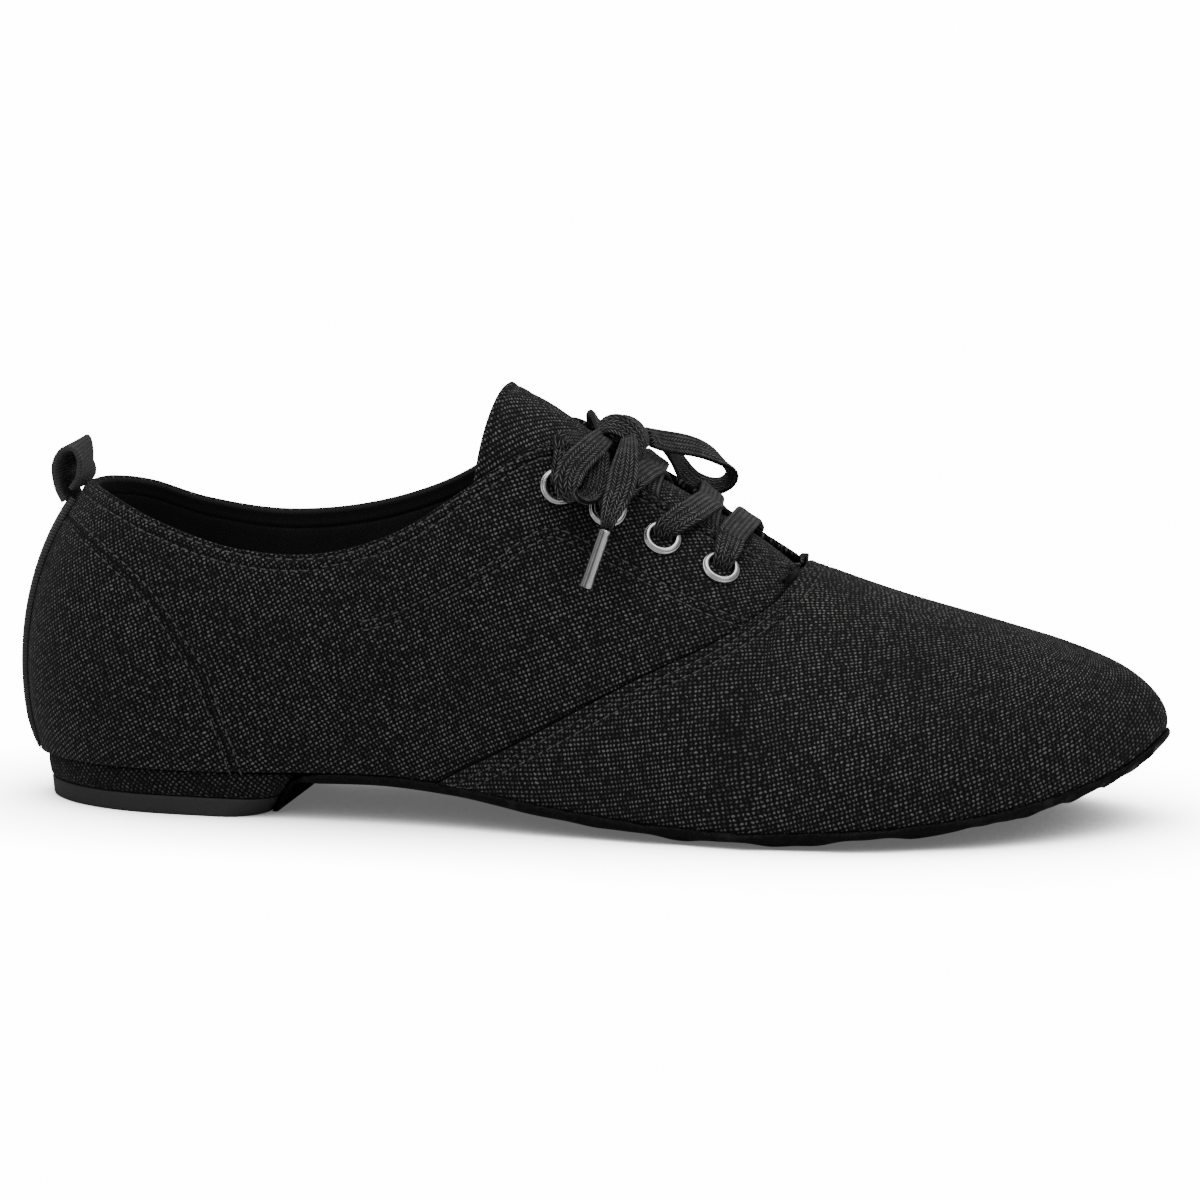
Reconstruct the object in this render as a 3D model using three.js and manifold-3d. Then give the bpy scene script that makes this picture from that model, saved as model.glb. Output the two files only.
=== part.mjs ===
// A right-foot canvas jazz shoe, size 39: +X points to the toe, -Y is the outer side of the foot, +Z is up.
// The origin is the centre of the heel's rest face, on the floor. All sizes are in millimetres.
import * as THREE from 'three';
import { mergeVertices } from 'three/addons/utils/BufferGeometryUtils.js';
import Module from 'manifold-3d';

const wasm = await Module();
wasm.setup();

// Driving sizes of the last and the upper
const LENGTH = 255.6;
const BALL_WIDTH = 90;
const INSTEP_RISE = 77;
const TOE_SPRING = 17.1;
const WALL = 1.8;
const VAMP_STEP = 1.0;
const BACK_STRIP_WIDTH = 15;
const BACK_STRIP_STEP = 1.3;
const CLEARANCE = 0.3;

// Driving sizes of the sole, heel and insole
const SOLE_THICKNESS = 2.2;
const SOLE_MARGIN = 1.7;
const EDGE_LIFT = 1.2;
const SOLE_DISH = 2.1;
const FLAP_THICKNESS = 1.3;
const LIFT_THICKNESS = 4.2;
const BLOCK_THICKNESS = 5.6;
const HEEL_INSET = 1.7;
const HEEL_TAPER = 1.0;
const BREAST_FORWARD = 60.0;
const BREAST_LEAN = 7.0;
const BREAST_CORNER_LOW = 10.5;
const BREAST_CORNER_HIGH = 4.0;
const INSOLE_THICKNESS = 1.6;

// Driving sizes of the tongue, pull loop, eyelets and lace
const TONGUE_THICKNESS = 1.6;
const TONGUE_SPREAD = 0.261;
const TONGUE_ARCH = 26;
const TONGUE_SWEEP = 3.5;
const TAPE_THICKNESS = 1.2;
const TAPE_WIDTH = 15;
const EYELET_RADIUS = 4.25;
const EYELET_BORE = 2.6;
const EYELET_BARREL = 0.4;
const EYELET_INSET = 10.8;
const LACE_WIDTH = 6.5;
const LACE_THICKNESS = 1.2;
const AGLET_RADIUS = 1.5;
const AGLET_LENGTH = 13.5;

// Heights that follow from the sizes above
const HEEL_SEAT = LIFT_THICKNESS + BLOCK_THICKNESS + 2 * CLEARANCE;
const BALL_SEAT = SOLE_THICKNESS + EDGE_LIFT + CLEARANCE;
const HEEL_BACK = HEEL_INSET + HEEL_TAPER;
const REST_LENGTH = BREAST_FORWARD - HEEL_BACK;
const BACK_X = -(HEEL_BACK + REST_LENGTH / 2);
const OUTER = -1;
const INNER = 1;
const UP = new THREE.Vector3(0, 0, 1);

/** Turns rows of numbers under named columns into objects. */
function table(columns, rows) {
  return rows.map((row) => Object.fromEntries(columns.map((name, i) => [name, row[i]])));
}

// The feather line, where the upper meets the sole, from the heel's back to the toe tip.
// along: share of LENGTH. outer, inner: half widths as shares of BALL_WIDTH, negative past the middle line.
// heel: share of the heel's rise over the ball. spring: share of TOE_SPRING. dish: share of SOLE_DISH.
const FEATHER = table(
  ['along', 'outer', 'inner', 'heel', 'spring', 'dish', 'margin'],
  [
    [0.000, 0.000, 0.000, 1.00, 0.00, 0.0, 0.0],
    [0.011, 0.111, 0.111, 1.00, 0.00, 0.0, 0.0],
    [0.046, 0.222, 0.222, 1.00, 0.00, 0.0, 0.0],
    [0.101, 0.300, 0.294, 1.00, 0.00, 0.0, 0.0],
    [0.179, 0.333, 0.322, 1.00, 0.00, 0.0, 0.0],
    [0.265, 0.344, 0.306, 1.09, 0.00, 0.1, 0.0],
    [0.339, 0.360, 0.300, 1.13, 0.00, 0.3, 0.0],
    [0.402, 0.383, 0.313, 0.96, 0.00, 0.5, 0.4],
    [0.441, 0.402, 0.329, 0.76, 0.00, 0.7, 0.8],
    [0.472, 0.419, 0.344, 0.56, 0.00, 0.8, 1.0],
    [0.507, 0.437, 0.367, 0.39, 0.00, 0.9, 1.0],
    [0.554, 0.460, 0.397, 0.19, 0.00, 1.0, 1.0],
    [0.604, 0.483, 0.430, 0.06, 0.00, 1.0, 1.0],
    [0.647, 0.500, 0.458, 0.00, 0.00, 1.0, 1.0],
    [0.678, 0.509, 0.472, 0.00, 0.00, 1.0, 1.0],
    [0.753, 0.498, 0.489, 0.00, 0.06, 1.0, 1.0],
    [0.835, 0.431, 0.450, 0.00, 0.17, 0.8, 1.0],
    [0.909, 0.306, 0.361, 0.00, 0.37, 0.5, 1.0],
    [0.969, 0.122, 0.211, 0.00, 0.66, 0.2, 1.0],
    [1.000, -0.056, 0.056, 0.00, 1.00, 0.0, 1.0],
  ],
);

// The top line above each row of the feather line: the collar, then the throat's edge, then the vamp's crest.
// along: share of LENGTH. outer, inner: half widths as shares of BALL_WIDTH.
// outerRise, innerRise: height above the feather line as shares of INSTEP_RISE.
const TOP_LINE = table(
  ['along', 'outer', 'inner', 'outerRise', 'innerRise'],
  [
    [0.048, 0.000, 0.000, 0.804, 0.804],
    [0.059, 0.094, 0.094, 0.805, 0.805],
    [0.087, 0.189, 0.189, 0.777, 0.780],
    [0.134, 0.264, 0.250, 0.718, 0.722],
    [0.203, 0.311, 0.286, 0.653, 0.687],
    [0.279, 0.328, 0.308, 0.636, 0.701],
    [0.351, 0.333, 0.302, 0.704, 0.773],
    [0.416, 0.300, 0.282, 0.858, 0.914],
    [0.461, 0.233, 0.244, 0.968, 1.003],
    [0.490, 0.183, 0.206, 0.994, 1.006],
    [0.523, 0.161, 0.189, 0.948, 0.955],
    [0.578, 0.139, 0.172, 0.857, 0.872],
    [0.637, 0.117, 0.150, 0.751, 0.764],
    [0.674, 0.072, 0.117, 0.695, 0.698],
    [0.686, -0.022, 0.022, 0.682, 0.682],
    [0.766, -0.022, 0.022, 0.578, 0.578],
    [0.844, -0.028, 0.028, 0.482, 0.482],
    [0.895, -0.033, 0.033, 0.390, 0.390],
    [0.917, -0.033, 0.033, 0.303, 0.303],
    [0.924, -0.033, 0.033, 0.218, 0.218],
  ],
);
const THROAT = 14;
const LAST = FEATHER.length - 1;
const CREST_SLOPE = 0.2;
const THROAT_CALM = 1.6;

// How each rib of the upper bows between the feather line and the top line.
// facing: degrees that the rib looks back from straight sideways. flare, spread: outward pull near the
// bottom and the top, as shares of BALL_WIDTH. rise, drop: the pull's height as shares of the rib's height.
const RIBS = table(
  ['facing', 'flare', 'rise', 'spread', 'drop'],
  [
    [90, 0.071, 0.317, 0.167, 0.263],
    [64, 0.067, 0.320, 0.144, 0.265],
    [36, 0.058, 0.320, 0.117, 0.270],
    [14, 0.053, 0.330, 0.078, 0.280],
    [3, 0.047, 0.340, 0.050, 0.300],
    [0, 0.044, 0.340, 0.050, 0.320],
    [0, 0.050, 0.340, 0.067, 0.320],
    [0, 0.053, 0.330, 0.100, 0.300],
    [0, 0.056, 0.330, 0.128, 0.270],
    [0, 0.058, 0.330, 0.150, 0.250],
    [0, 0.060, 0.330, 0.156, 0.215],
    [0, 0.062, 0.340, 0.178, 0.165],
    [0, 0.064, 0.350, 0.211, 0.120],
    [0, 0.067, 0.360, 0.256, 0.070],
    [0, 0.067, 0.370, 0.289, 0.020],
    [0, 0.067, 0.380, 0.300, 0.000],
    [-3, 0.061, 0.400, 0.278, 0.000],
    [-14, 0.050, 0.420, 0.222, 0.000],
    [-48, 0.033, 0.400, 0.144, 0.000],
    [-90, 0.020, 0.310, 0.139, 0.000],
  ],
);

// The vamp's raised edge seen from the side, from the feather line up to the throat.
// along: share of LENGTH. up: height above the ball's feather line as a share of INSTEP_RISE.
const VAMP_EDGE = table(
  ['along', 'up'],
  [
    [0.320, -0.080],
    [0.391, 0.086],
    [0.457, 0.204],
    [0.517, 0.317],
    [0.574, 0.418],
    [0.628, 0.503],
    [0.666, 0.581],
    [0.681, 0.626],
    [0.689, 0.668],
    [0.690, 0.695],
    [0.692, 0.900],
  ],
);

// The tongue's crest, from under the vamp to its free end: shares of LENGTH and of INSTEP_RISE.
const TONGUE_CREST = table(
  ['along', 'up'],
  [
    [0.712, 0.598],
    [0.686, 0.640],
    [0.664, 0.698],
    [0.638, 0.760],
    [0.594, 0.853],
    [0.540, 0.961],
    [0.505, 1.036],
    [0.460, 1.134],
    [0.426, 1.200],
  ],
);

// The eyelets of each side, from the collar to the toe, as places between the rows of the top line.
const EYELET_ROWS = [8.95, 10.15, 11.0, 11.85];

// The lace: its section's corners as shares of width and thickness, then its middle's height over the wall.
const LACE_SECTION = table(
  ['across', 'up'],
  [
    [-0.5, -0.3],
    [-0.4, -0.5],
    [0.4, -0.5],
    [0.5, -0.3],
    [0.5, 0.3],
    [0.4, 0.5],
    [-0.4, 0.5],
    [-0.5, 0.3],
  ],
);
const EYELET_DOME = 0.6;
const LACE_LOW = CLEARANCE + LACE_THICKNESS * 0.75;
const LACE_CLIMB = [
  { share: 0, height: LACE_LOW + EYELET_DOME + 2 * CLEARANCE },
  { share: 0.5, height: LACE_LOW + 2 * CLEARANCE },
  { share: 1, height: LACE_LOW },
];
const LACE_LEAN = 0.3;
const TIE_LEAN = 0;
const UNDER_BACK = 0.4;
const UNDER_SHARE = 0.6;
const INSTEP_SLOPE = 0.6;

// The bow, as sizes and routes from the half knot's middle on the tongue.
// A route's rows hold a point of the lace's middle line and the way the lace's face looks there.
const TIE_ALONG = 0.512;
const TIE_REACH = 1.5;
const ROUTE = ['x', 'y', 'z', 'faceX', 'faceY', 'faceZ'];
const KNOT_CENTRE = [5.0, -0.5, 2.9];
const KNOT_RADII = [6.2, 5.4, 2.7];
const OUTER_LOOP = table(
  ROUTE,
  [
    [1.2, -6.0, 2.4, 0.63, -0.07, 0.78],
    [1.0, -13.0, 1.9, 0.58, -0.13, 0.80],
    [0.2, -19.5, 0.8, 0.51, -0.37, 0.78],
    [-2.1, -25.5, -1.9, 0.41, -0.58, 0.71],
    [-3.0, -29.0, -5.0, 0.07, -0.83, 0.56],
    [-2.4, -29.5, -7.6, -0.38, -0.91, -0.13],
    [-0.5, -29.5, -9.1, -0.24, -0.07, -0.97],
    [1.3, -27.0, -8.7, -0.03, 0.44, -0.90],
    [2.2, -24.5, -6.7, 0.06, 0.62, -0.78],
    [2.1, -20.5, -3.4, 0.11, 0.67, -0.74],
    [1.9, -17.5, -0.5, 0.02, 0.71, -0.70],
  ],
);
const INNER_LOOP = table(
  ROUTE,
  [
    [9.4, 4.0, 1.1, 0.87, -0.20, 0.46],
    [11.7, 10.5, -0.4, 0.79, -0.29, 0.54],
    [17.1, 18.5, -2.3, 0.69, -0.31, 0.65],
    [21.2, 23.0, -4.7, 0.70, -0.12, 0.70],
    [24.2, 26.5, -8.0, 0.68, 0.38, 0.62],
    [23.9, 28.5, -11.0, 0.78, 0.52, -0.36],
    [20.9, 28.5, -12.5, 0.10, 0.55, -0.83],
    [16.4, 29.0, -11.6, -0.53, 0.57, -0.63],
    [13.6, 26.0, -8.4, -0.96, 0.27, -0.13],
    [12.3, 18.5, -3.8, -0.97, 0.08, -0.21],
    [10.5, 11.0, -0.4, -0.81, -0.05, -0.58],
    [9.5, 6.0, 1.2, -0.77, -0.05, -0.63],
  ],
);
const OUTER_END = table(
  ROUTE,
  [
    [6.6, -6.6, 2.3, -0.21, -0.21, 0.96],
    [8.1, -17.5, 0.2, -0.08, -0.34, 0.94],
    [8.4, -23.5, -3.6, 0.15, -0.58, 0.80],
    [8.2, -28.0, -7.3, 0.21, -0.69, 0.70],
    [7.2, -31.0, -10.7, 0.22, -0.84, 0.49],
    [6.1, -33.0, -14.9, 0.22, -0.91, 0.36],
  ],
);
const INNER_END = table(
  ROUTE,
  [
    [3.5, 6.4, 2.7, 0.1, 0.4, 0.9],
    [2.3, 12.0, 2.1, 0.1, 0.4, 0.9],
    [1.3, 18.0, 0.5, 0.1, 0.6, 0.8],
    [0.7, 24.0, -3.3, 0.1, 0.8, 0.6],
    [0.3, 29.0, -9.3, 0.1, 0.9, 0.3],
    [0.0, 32.4, -16.1, 0.1, 1.0, 0.2],
  ],
);
const OUTER_AGLET_TIP = [2.0, -35.6, -28.0];
const INNER_AGLET_TIP = [-1.5, 35.4, -29.1];
const TIE_WIDTH = 4.0;
const OUTER_LOOP_WIDTH = 5.0;
const INNER_LOOP_WIDTH = 5.6;

// The pull loop's fold seen from the side, from the strip's end up and over to the collar's edge.
// back, up: distances from the back point of the collar.
const PULL_LOOP = table(
  ['back', 'up'],
  [
    [4.8, -4.9],
    [6.3, -1.3],
    [6.8, 3.7],
    [4.9, 7.3],
    [2.1, 7.7],
    [0.7, 5.1],
    [1.4, 2.1],
    [2.5, 0.1],
    [3.5, -2.1],
  ],
);
const STRIP_END = 5.7;

/** A point of the smooth curve through four neighbours, at share f between the middle two. */
function curveThrough(a, b, c, d, f) {
  const result = b.clone().multiplyScalar(2);
  result.addScaledVector(c.clone().sub(a), f);
  const bend = a.clone().multiplyScalar(2).addScaledVector(b, -5).addScaledVector(c, 4).sub(d);
  result.addScaledVector(bend, f * f);
  const twist = b.clone().multiplyScalar(3).sub(a).addScaledVector(c, -3).add(d);
  result.addScaledVector(twist, f * f * f);
  return result.multiplyScalar(0.5);
}

/** Height of the feather line over the floor at a row. */
function featherHeight(row) {
  return BALL_SEAT + row.heel * (HEEL_SEAT - BALL_SEAT) + row.spring * TOE_SPRING;
}

/** The share of BALL_WIDTH that a row holds for one side, as a Y coordinate. */
function sideways(row, side) {
  return side * BALL_WIDTH * (side === OUTER ? row.outer : row.inner);
}

/** Runs a row number past either end back along the other side, as the line goes on round the shoe. */
function aroundEnds(side, k) {
  if (k < 0) {
    return [-side, -k];
  }
  return k > LAST ? [-side, 2 * LAST - k] : [side, k];
}

/** The four pulls of the rib at a whole row: feather line, lower pull, upper pull and top line. */
function ribAtRow(side, k) {
  const [turnedSide, row] = aroundEnds(side, k);
  const feather = FEATHER[row];
  const top = TOP_LINE[row];
  const rib = RIBS[row];
  const angle = THREE.MathUtils.degToRad(rib.facing);
  const facing = new THREE.Vector3(-Math.sin(angle), turnedSide * Math.cos(angle), 0);
  const low = new THREE.Vector3(
    BACK_X + feather.along * LENGTH,
    sideways(feather, turnedSide),
    featherHeight(feather),
  );
  const rise = INSTEP_RISE * (turnedSide === OUTER ? top.outerRise : top.innerRise);
  const high = new THREE.Vector3(
    BACK_X + top.along * LENGTH,
    sideways(top, turnedSide),
    low.z + rise,
  );
  const lowPull = low.clone().addScaledVector(facing, rib.flare * BALL_WIDTH);
  lowPull.z += rib.rise * rise;
  const highPull = high.clone().addScaledVector(facing, rib.spread * BALL_WIDTH);
  highPull.z -= rib.drop * rise;
  if (row > THROAT) {
    highPull.z -= CREST_SLOPE * Math.max(facing.x, 0) * rib.spread * BALL_WIDTH;
  }
  return [low, lowPull, highPull, high];
}

const ribsAtRows = {
  [OUTER]: FEATHER.map((_, k) => ribAtRow(OUTER, k)),
  [INNER]: FEATHER.map((_, k) => ribAtRow(INNER, k)),
};

/** One pull of the rib at a whole row, also past the ends. */
function pull(side, k, which) {
  const [turnedSide, row] = aroundEnds(side, k);
  return ribsAtRows[turnedSide][row][which];
}

/** The pulls of the rib at any place k between the rows. The top line breaks at the throat. */
function ribAt(side, k) {
  const from = Math.min(Math.floor(k), LAST - 1);
  const share = k - from;
  return [0, 1, 2, 3].map((which) => {
    let before = pull(side, from - 1, which);
    let after = pull(side, from + 2, which);
    const start = pull(side, from, which);
    const end = pull(side, from + 1, which);
    if (which === 3 && from === THROAT - 1) {
      after = end.clone().multiplyScalar(2).sub(start);
    }
    if (which === 3 && from === THROAT) {
      before = start.clone().multiplyScalar(2).sub(end);
    }
    return curveThrough(before, start, end, after, share);
  });
}

/** A point of a rib at share t of the way from the feather line to the top line. */
function ribPoint(pulls, t) {
  const s = 1 - t;
  const weights = [s * s * s, 3 * s * s * t, 3 * s * t * t, t * t * t];
  const point = new THREE.Vector3();
  pulls.forEach((p, i) => point.addScaledVector(p, weights[i]));
  return point;
}

/** The outward normal of the upper at one side's rib k and share t. */
function sideNormal(side, k, t) {
  const step = 0.02;
  const pulls = ribAt(side, k);
  const near = t < 0.5 ? t : t - step;
  const climb = ribPoint(pulls, near + step).sub(ribPoint(pulls, near));
  const ahead = ribAt(side, Math.min(k + step, LAST));
  const behind = ribAt(side, Math.max(k - step, 0));
  // Near the throat the top line turns sharply, so the upper pull's direction is used there instead.
  const calm = THREE.MathUtils.clamp(THROAT_CALM - Math.abs(k - THROAT + 0.5), 0, 1);
  const topStep = ahead[3].clone().sub(behind[3]).lerp(ahead[2].clone().sub(behind[2]), calm);
  ahead[3] = behind[3].clone().add(topStep);
  const forward = ribPoint(ahead, t).sub(ribPoint(behind, t));
  return forward.cross(climb).multiplyScalar(-side).normalize();
}

/** The outward normal, the same from both sides on the crest. */
function outward(side, k, t) {
  if (t === 1 && k >= THROAT) {
    return sideNormal(OUTER, k, t).add(sideNormal(INNER, k, t)).normalize();
  }
  return sideNormal(side, k, t);
}

/** A point at a given height over the upper's outer face. */
function upperPoint(side, k, t, height) {
  return ribPoint(ribAt(side, k), t).addScaledVector(outward(side, k, t), height);
}

/** Merges equal corners, drops flat triangles and turns the faces outward. */
function closedGeometry(positions) {
  const loose = new THREE.BufferGeometry();
  loose.setAttribute('position', new THREE.Float32BufferAttribute(positions, 3));
  const merged = mergeVertices(loose, 1e-4);
  const corners = merged.getAttribute('position');
  const index = merged.getIndex().array;
  const kept = [];
  let volume = 0;
  const [a, b, c] = [new THREE.Vector3(), new THREE.Vector3(), new THREE.Vector3()];
  for (let i = 0; i < index.length; i += 3) {
    const [p, q, r] = [index[i], index[i + 1], index[i + 2]];
    if (p !== q && q !== r && r !== p) {
      kept.push(p, q, r);
      a.fromBufferAttribute(corners, p);
      b.fromBufferAttribute(corners, q);
      c.fromBufferAttribute(corners, r);
      volume += a.dot(b.cross(c));
    }
  }
  if (volume < 0) {
    kept.reverse();
  }
  merged.setIndex(kept);
  return merged;
}

/** Adds the two triangles of a four-cornered face. */
function addQuad(positions, a, b, c, d) {
  for (const corner of [a, b, c, a, c, d]) {
    positions.push(corner.x, corner.y, corner.z);
  }
}

/** A closed slab between two grids of points, upper(i, j) and lower(i, j). */
function slab(rows, columns, upper, lower) {
  const positions = [];
  for (let i = 0; i < rows; i += 1) {
    for (let j = 0; j < columns; j += 1) {
      addQuad(positions, upper(i, j), upper(i + 1, j), upper(i + 1, j + 1), upper(i, j + 1));
      addQuad(positions, lower(i, j), lower(i, j + 1), lower(i + 1, j + 1), lower(i + 1, j));
    }
    addQuad(positions, upper(i, 0), lower(i, 0), lower(i + 1, 0), upper(i + 1, 0));
    addQuad(positions, upper(i + 1, columns), lower(i + 1, columns), lower(i, columns), upper(i, columns));
  }
  for (let j = 0; j < columns; j += 1) {
    addQuad(positions, upper(0, j + 1), lower(0, j + 1), lower(0, j), upper(0, j));
    addQuad(positions, upper(rows, j), lower(rows, j), lower(rows, j + 1), upper(rows, j + 1));
  }
  return closedGeometry(positions);
}

/** Makes a solid of a closed geometry. */
function solid(geometry) {
  const bare = geometry.clone();
  bare.deleteAttribute('normal');
  bare.deleteAttribute('uv');
  const merged = mergeVertices(bare, 1e-4);
  return new wasm.Manifold(
    new wasm.Mesh({
      numProp: 3,
      vertProperties: new Float32Array(merged.getAttribute('position').array),
      triVerts: new Uint32Array(merged.getIndex().array),
    }),
  );
}

/** Makes a geometry of a solid. */
function geometryOf(body) {
  const mesh = body.getMesh();
  const geometry = new THREE.BufferGeometry();
  geometry.setAttribute('position', new THREE.BufferAttribute(mesh.vertProperties, 3));
  geometry.setIndex(new THREE.BufferAttribute(mesh.triVerts, 1));
  return geometry;
}

// The upper is a shell round the whole last, between two heights over its outer face.
const RIB_STEPS = 2;
const UPPER_ROWS = 9;

/** The stops of the shell all round: to the toe on the outer side, and back to the heel on the inner. */
function stopsRound() {
  const stops = [];
  for (let i = 0; i <= LAST * RIB_STEPS; i += 1) {
    stops.push([OUTER, i / RIB_STEPS]);
  }
  for (let i = LAST * RIB_STEPS - 1; i > 0; i -= 1) {
    stops.push([INNER, i / RIB_STEPS]);
  }
  return stops;
}

/** A shell of the upper, open at collar, throat and underneath, from the inner to the outer height. */
function upperShell(innerHeight, outerHeight) {
  const stops = stopsRound();
  const skin = (height) => stops.map(([side, k]) => {
    const line = [];
    for (let j = 0; j <= UPPER_ROWS; j += 1) {
      const point = upperPoint(side, k, j / UPPER_ROWS, height);
      if (j === 0) {
        point.z = ribAt(side, k)[0].z;
      }
      line.push(point);
    }
    return line;
  });
  const outside = skin(outerHeight);
  const inside = skin(innerHeight);
  const positions = [];
  stops.forEach(([, k], i) => {
    const next = (i + 1) % stops.length;
    for (let j = 0; j < UPPER_ROWS; j += 1) {
      addQuad(positions, outside[i][j], outside[next][j], outside[next][j + 1], outside[i][j + 1]);
      addQuad(positions, inside[i][j], inside[i][j + 1], inside[next][j + 1], inside[next][j]);
    }
    addQuad(positions, outside[i][0], inside[i][0], inside[next][0], outside[next][0]);
    if (Math.min(k, stops[next][1]) < THROAT) {
      const top = UPPER_ROWS;
      addQuad(positions, outside[i][top], outside[next][top], inside[next][top], inside[i][top]);
    }
  });
  return closedGeometry(positions);
}

/** Everything ahead of the vamp's edge, as a block right across the shoe. */
function vampRegion() {
  const edge = VAMP_EDGE.map(
    (row) => new THREE.Vector3(BACK_X + row.along * LENGTH, 0, BALL_SEAT + row.up * INSTEP_RISE),
  );
  const outline = new THREE.CatmullRomCurve3(edge).getPoints(4 * edge.length);
  const shape = new THREE.Shape(outline.map((p) => new THREE.Vector2(p.x, p.z)));
  const front = BACK_X + 1.2 * LENGTH;
  shape.lineTo(front, edge[edge.length - 1].z);
  shape.lineTo(front, edge[0].z);
  const block = new THREE.ExtrudeGeometry(shape, { depth: 2 * BALL_WIDTH, bevelEnabled: false });
  block.rotateX(Math.PI / 2);
  block.translate(0, BALL_WIDTH, 0);
  return solid(block);
}

/** Where an eyelet sits: its centre on the upper's outer face and the direction out of the hole. */
function eyeletSeat(side, k) {
  const steps = 60;
  let length = 0;
  let t = 1;
  let last = upperPoint(side, k, t, 0);
  while (length < EYELET_INSET) {
    t -= 1 / steps;
    const point = upperPoint(side, k, t, 0);
    length += point.distanceTo(last);
    last = point;
  }
  return { k, t, centre: last, axis: outward(side, k, t) };
}

/** Turns a geometry made round +Z to stand along a seat's axis at its centre. */
function standOn(geometry, seat) {
  geometry.applyQuaternion(new THREE.Quaternion().setFromUnitVectors(UP, seat.axis));
  geometry.translate(seat.centre.x, seat.centre.y, seat.centre.z);
  return geometry;
}

const eyeletSeats = [OUTER, INNER].flatMap((side) => EYELET_ROWS.map((k) => eyeletSeat(side, k)));

/** The upper: one hollow wall with the vamp's step on it and the eyelets' holes through it. */
function upperGeometry() {
  const overlap = WALL / 3;
  const vamp = solid(upperShell(-overlap, VAMP_STEP)).intersect(vampRegion());
  let upper = solid(upperShell(-WALL, 0)).add(vamp);
  for (const seat of eyeletSeats) {
    const radius = EYELET_BORE + EYELET_BARREL + CLEARANCE;
    const hole = new THREE.CylinderGeometry(radius, radius, 6 * WALL, 12).rotateX(Math.PI / 2);
    upper = upper.subtract(solid(standOn(hole, seat)));
  }
  return geometryOf(upper);
}

/** An eyelet: a domed ring on the outer face with a short barrel through the wall. */
function eyeletGeometry(seat) {
  const barrel = EYELET_BORE + EYELET_BARREL;
  const profile = [
    [EYELET_BORE, -WALL - CLEARANCE],
    [barrel, -WALL - CLEARANCE],
    [barrel, CLEARANCE],
    [EYELET_RADIUS, CLEARANCE],
    [(EYELET_RADIUS + barrel) / 2, CLEARANCE + EYELET_DOME],
    [EYELET_BORE, CLEARANCE],
    [EYELET_BORE, -WALL - CLEARANCE],
  ].map(([r, h]) => new THREE.Vector2(r, h));
  const ring = new THREE.LatheGeometry(profile, 12).rotateX(Math.PI / 2);
  return standOn(ring, seat);
}

/** The row values between the rows of the feather line, for heights and shares that both sides have alike. */
function featherShare(name, k) {
  const from = Math.min(Math.floor(k), LAST - 1);
  return THREE.MathUtils.lerp(FEATHER[from][name], FEATHER[from + 1][name], k - from);
}

/** A point of the feather line moved outward in plan. */
function featherPoint(side, k, margin) {
  const step = 0.02;
  const point = ribAt(side, k)[0];
  const forward = ribAt(side, Math.min(k + step, LAST))[0].sub(ribAt(side, Math.max(k - step, 0))[0]);
  const out = new THREE.Vector3(forward.y, -forward.x, 0).multiplyScalar(-side).normalize();
  if (k === 0 || k === LAST) {
    out.set(k === 0 ? -1 : 1, 0, 0);
  }
  return point.addScaledVector(out, margin);
}

/** A point of the foot bed at place k, with the share of the way from the outer to the inner edge. */
function bedPoint(k, share, margin) {
  const outer = featherPoint(OUTER, k, margin);
  const inner = featherPoint(INNER, k, margin);
  const point = outer.lerp(inner, share);
  const middle = 1 - (2 * share - 1) ** 2;
  point.z -= SOLE_DISH * featherShare('dish', k) * middle;
  return point;
}

/** The heel breast's distance along the shoe at a height. */
function breastX(z) {
  return BACK_X + BREAST_FORWARD + BREAST_LEAN * (z / HEEL_SEAT);
}

/** The place between the rows where the feather line reaches a distance along the shoe. */
function placeAt(x) {
  let low = 0;
  let high = LAST;
  while (high - low > 1e-4) {
    const middle = (low + high) / 2;
    if (ribAt(OUTER, middle)[0].x < x) {
      low = middle;
    } else {
      high = middle;
    }
  }
  return low;
}

/** Half the breadth of the heel at a height and distance, with its corners rounded at the breast. */
function heelBreadth(side, x, z, inset) {
  const share = z / HEEL_SEAT;
  const corner = THREE.MathUtils.lerp(BREAST_CORNER_LOW, BREAST_CORNER_HIGH, share);
  const front = breastX(z);
  const back = BACK_X + inset;
  const spread = LENGTH / (LENGTH - inset);
  const full = Math.abs(ribAt(side, placeAt(BACK_X + (x - back) * spread))[0].y) - inset / 2;
  const widest = Math.abs(ribAt(side, placeAt(front - corner))[0].y) - inset / 2;
  const past = THREE.MathUtils.clamp(x - (front - corner), 0, corner);
  return Math.min(full, widest) - (x > front - corner ? corner - Math.sqrt(corner ** 2 - past ** 2) : 0);
}

/** The heel's outline at a height, as a ring of points whose breast keeps back by a setback. */
function heelRing(z, inset, setback) {
  const half = [];
  const steps = 16;
  const back = BACK_X + inset;
  const length = breastX(z) - setback - back;
  for (let i = 0; i <= steps; i += 1) {
    const angle = (Math.PI * i) / steps;
    half.push(back + (length * (1 - Math.cos(angle))) / 2);
  }
  const side = (which) => half.map((x, i) => {
    const breadth = i === 0 ? 0 : heelBreadth(which, x + (i * setback) / steps, z, inset);
    return new THREE.Vector3(x, which * breadth, z);
  });
  return [...side(OUTER), ...side(INNER).slice(1).reverse()];
}

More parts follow.
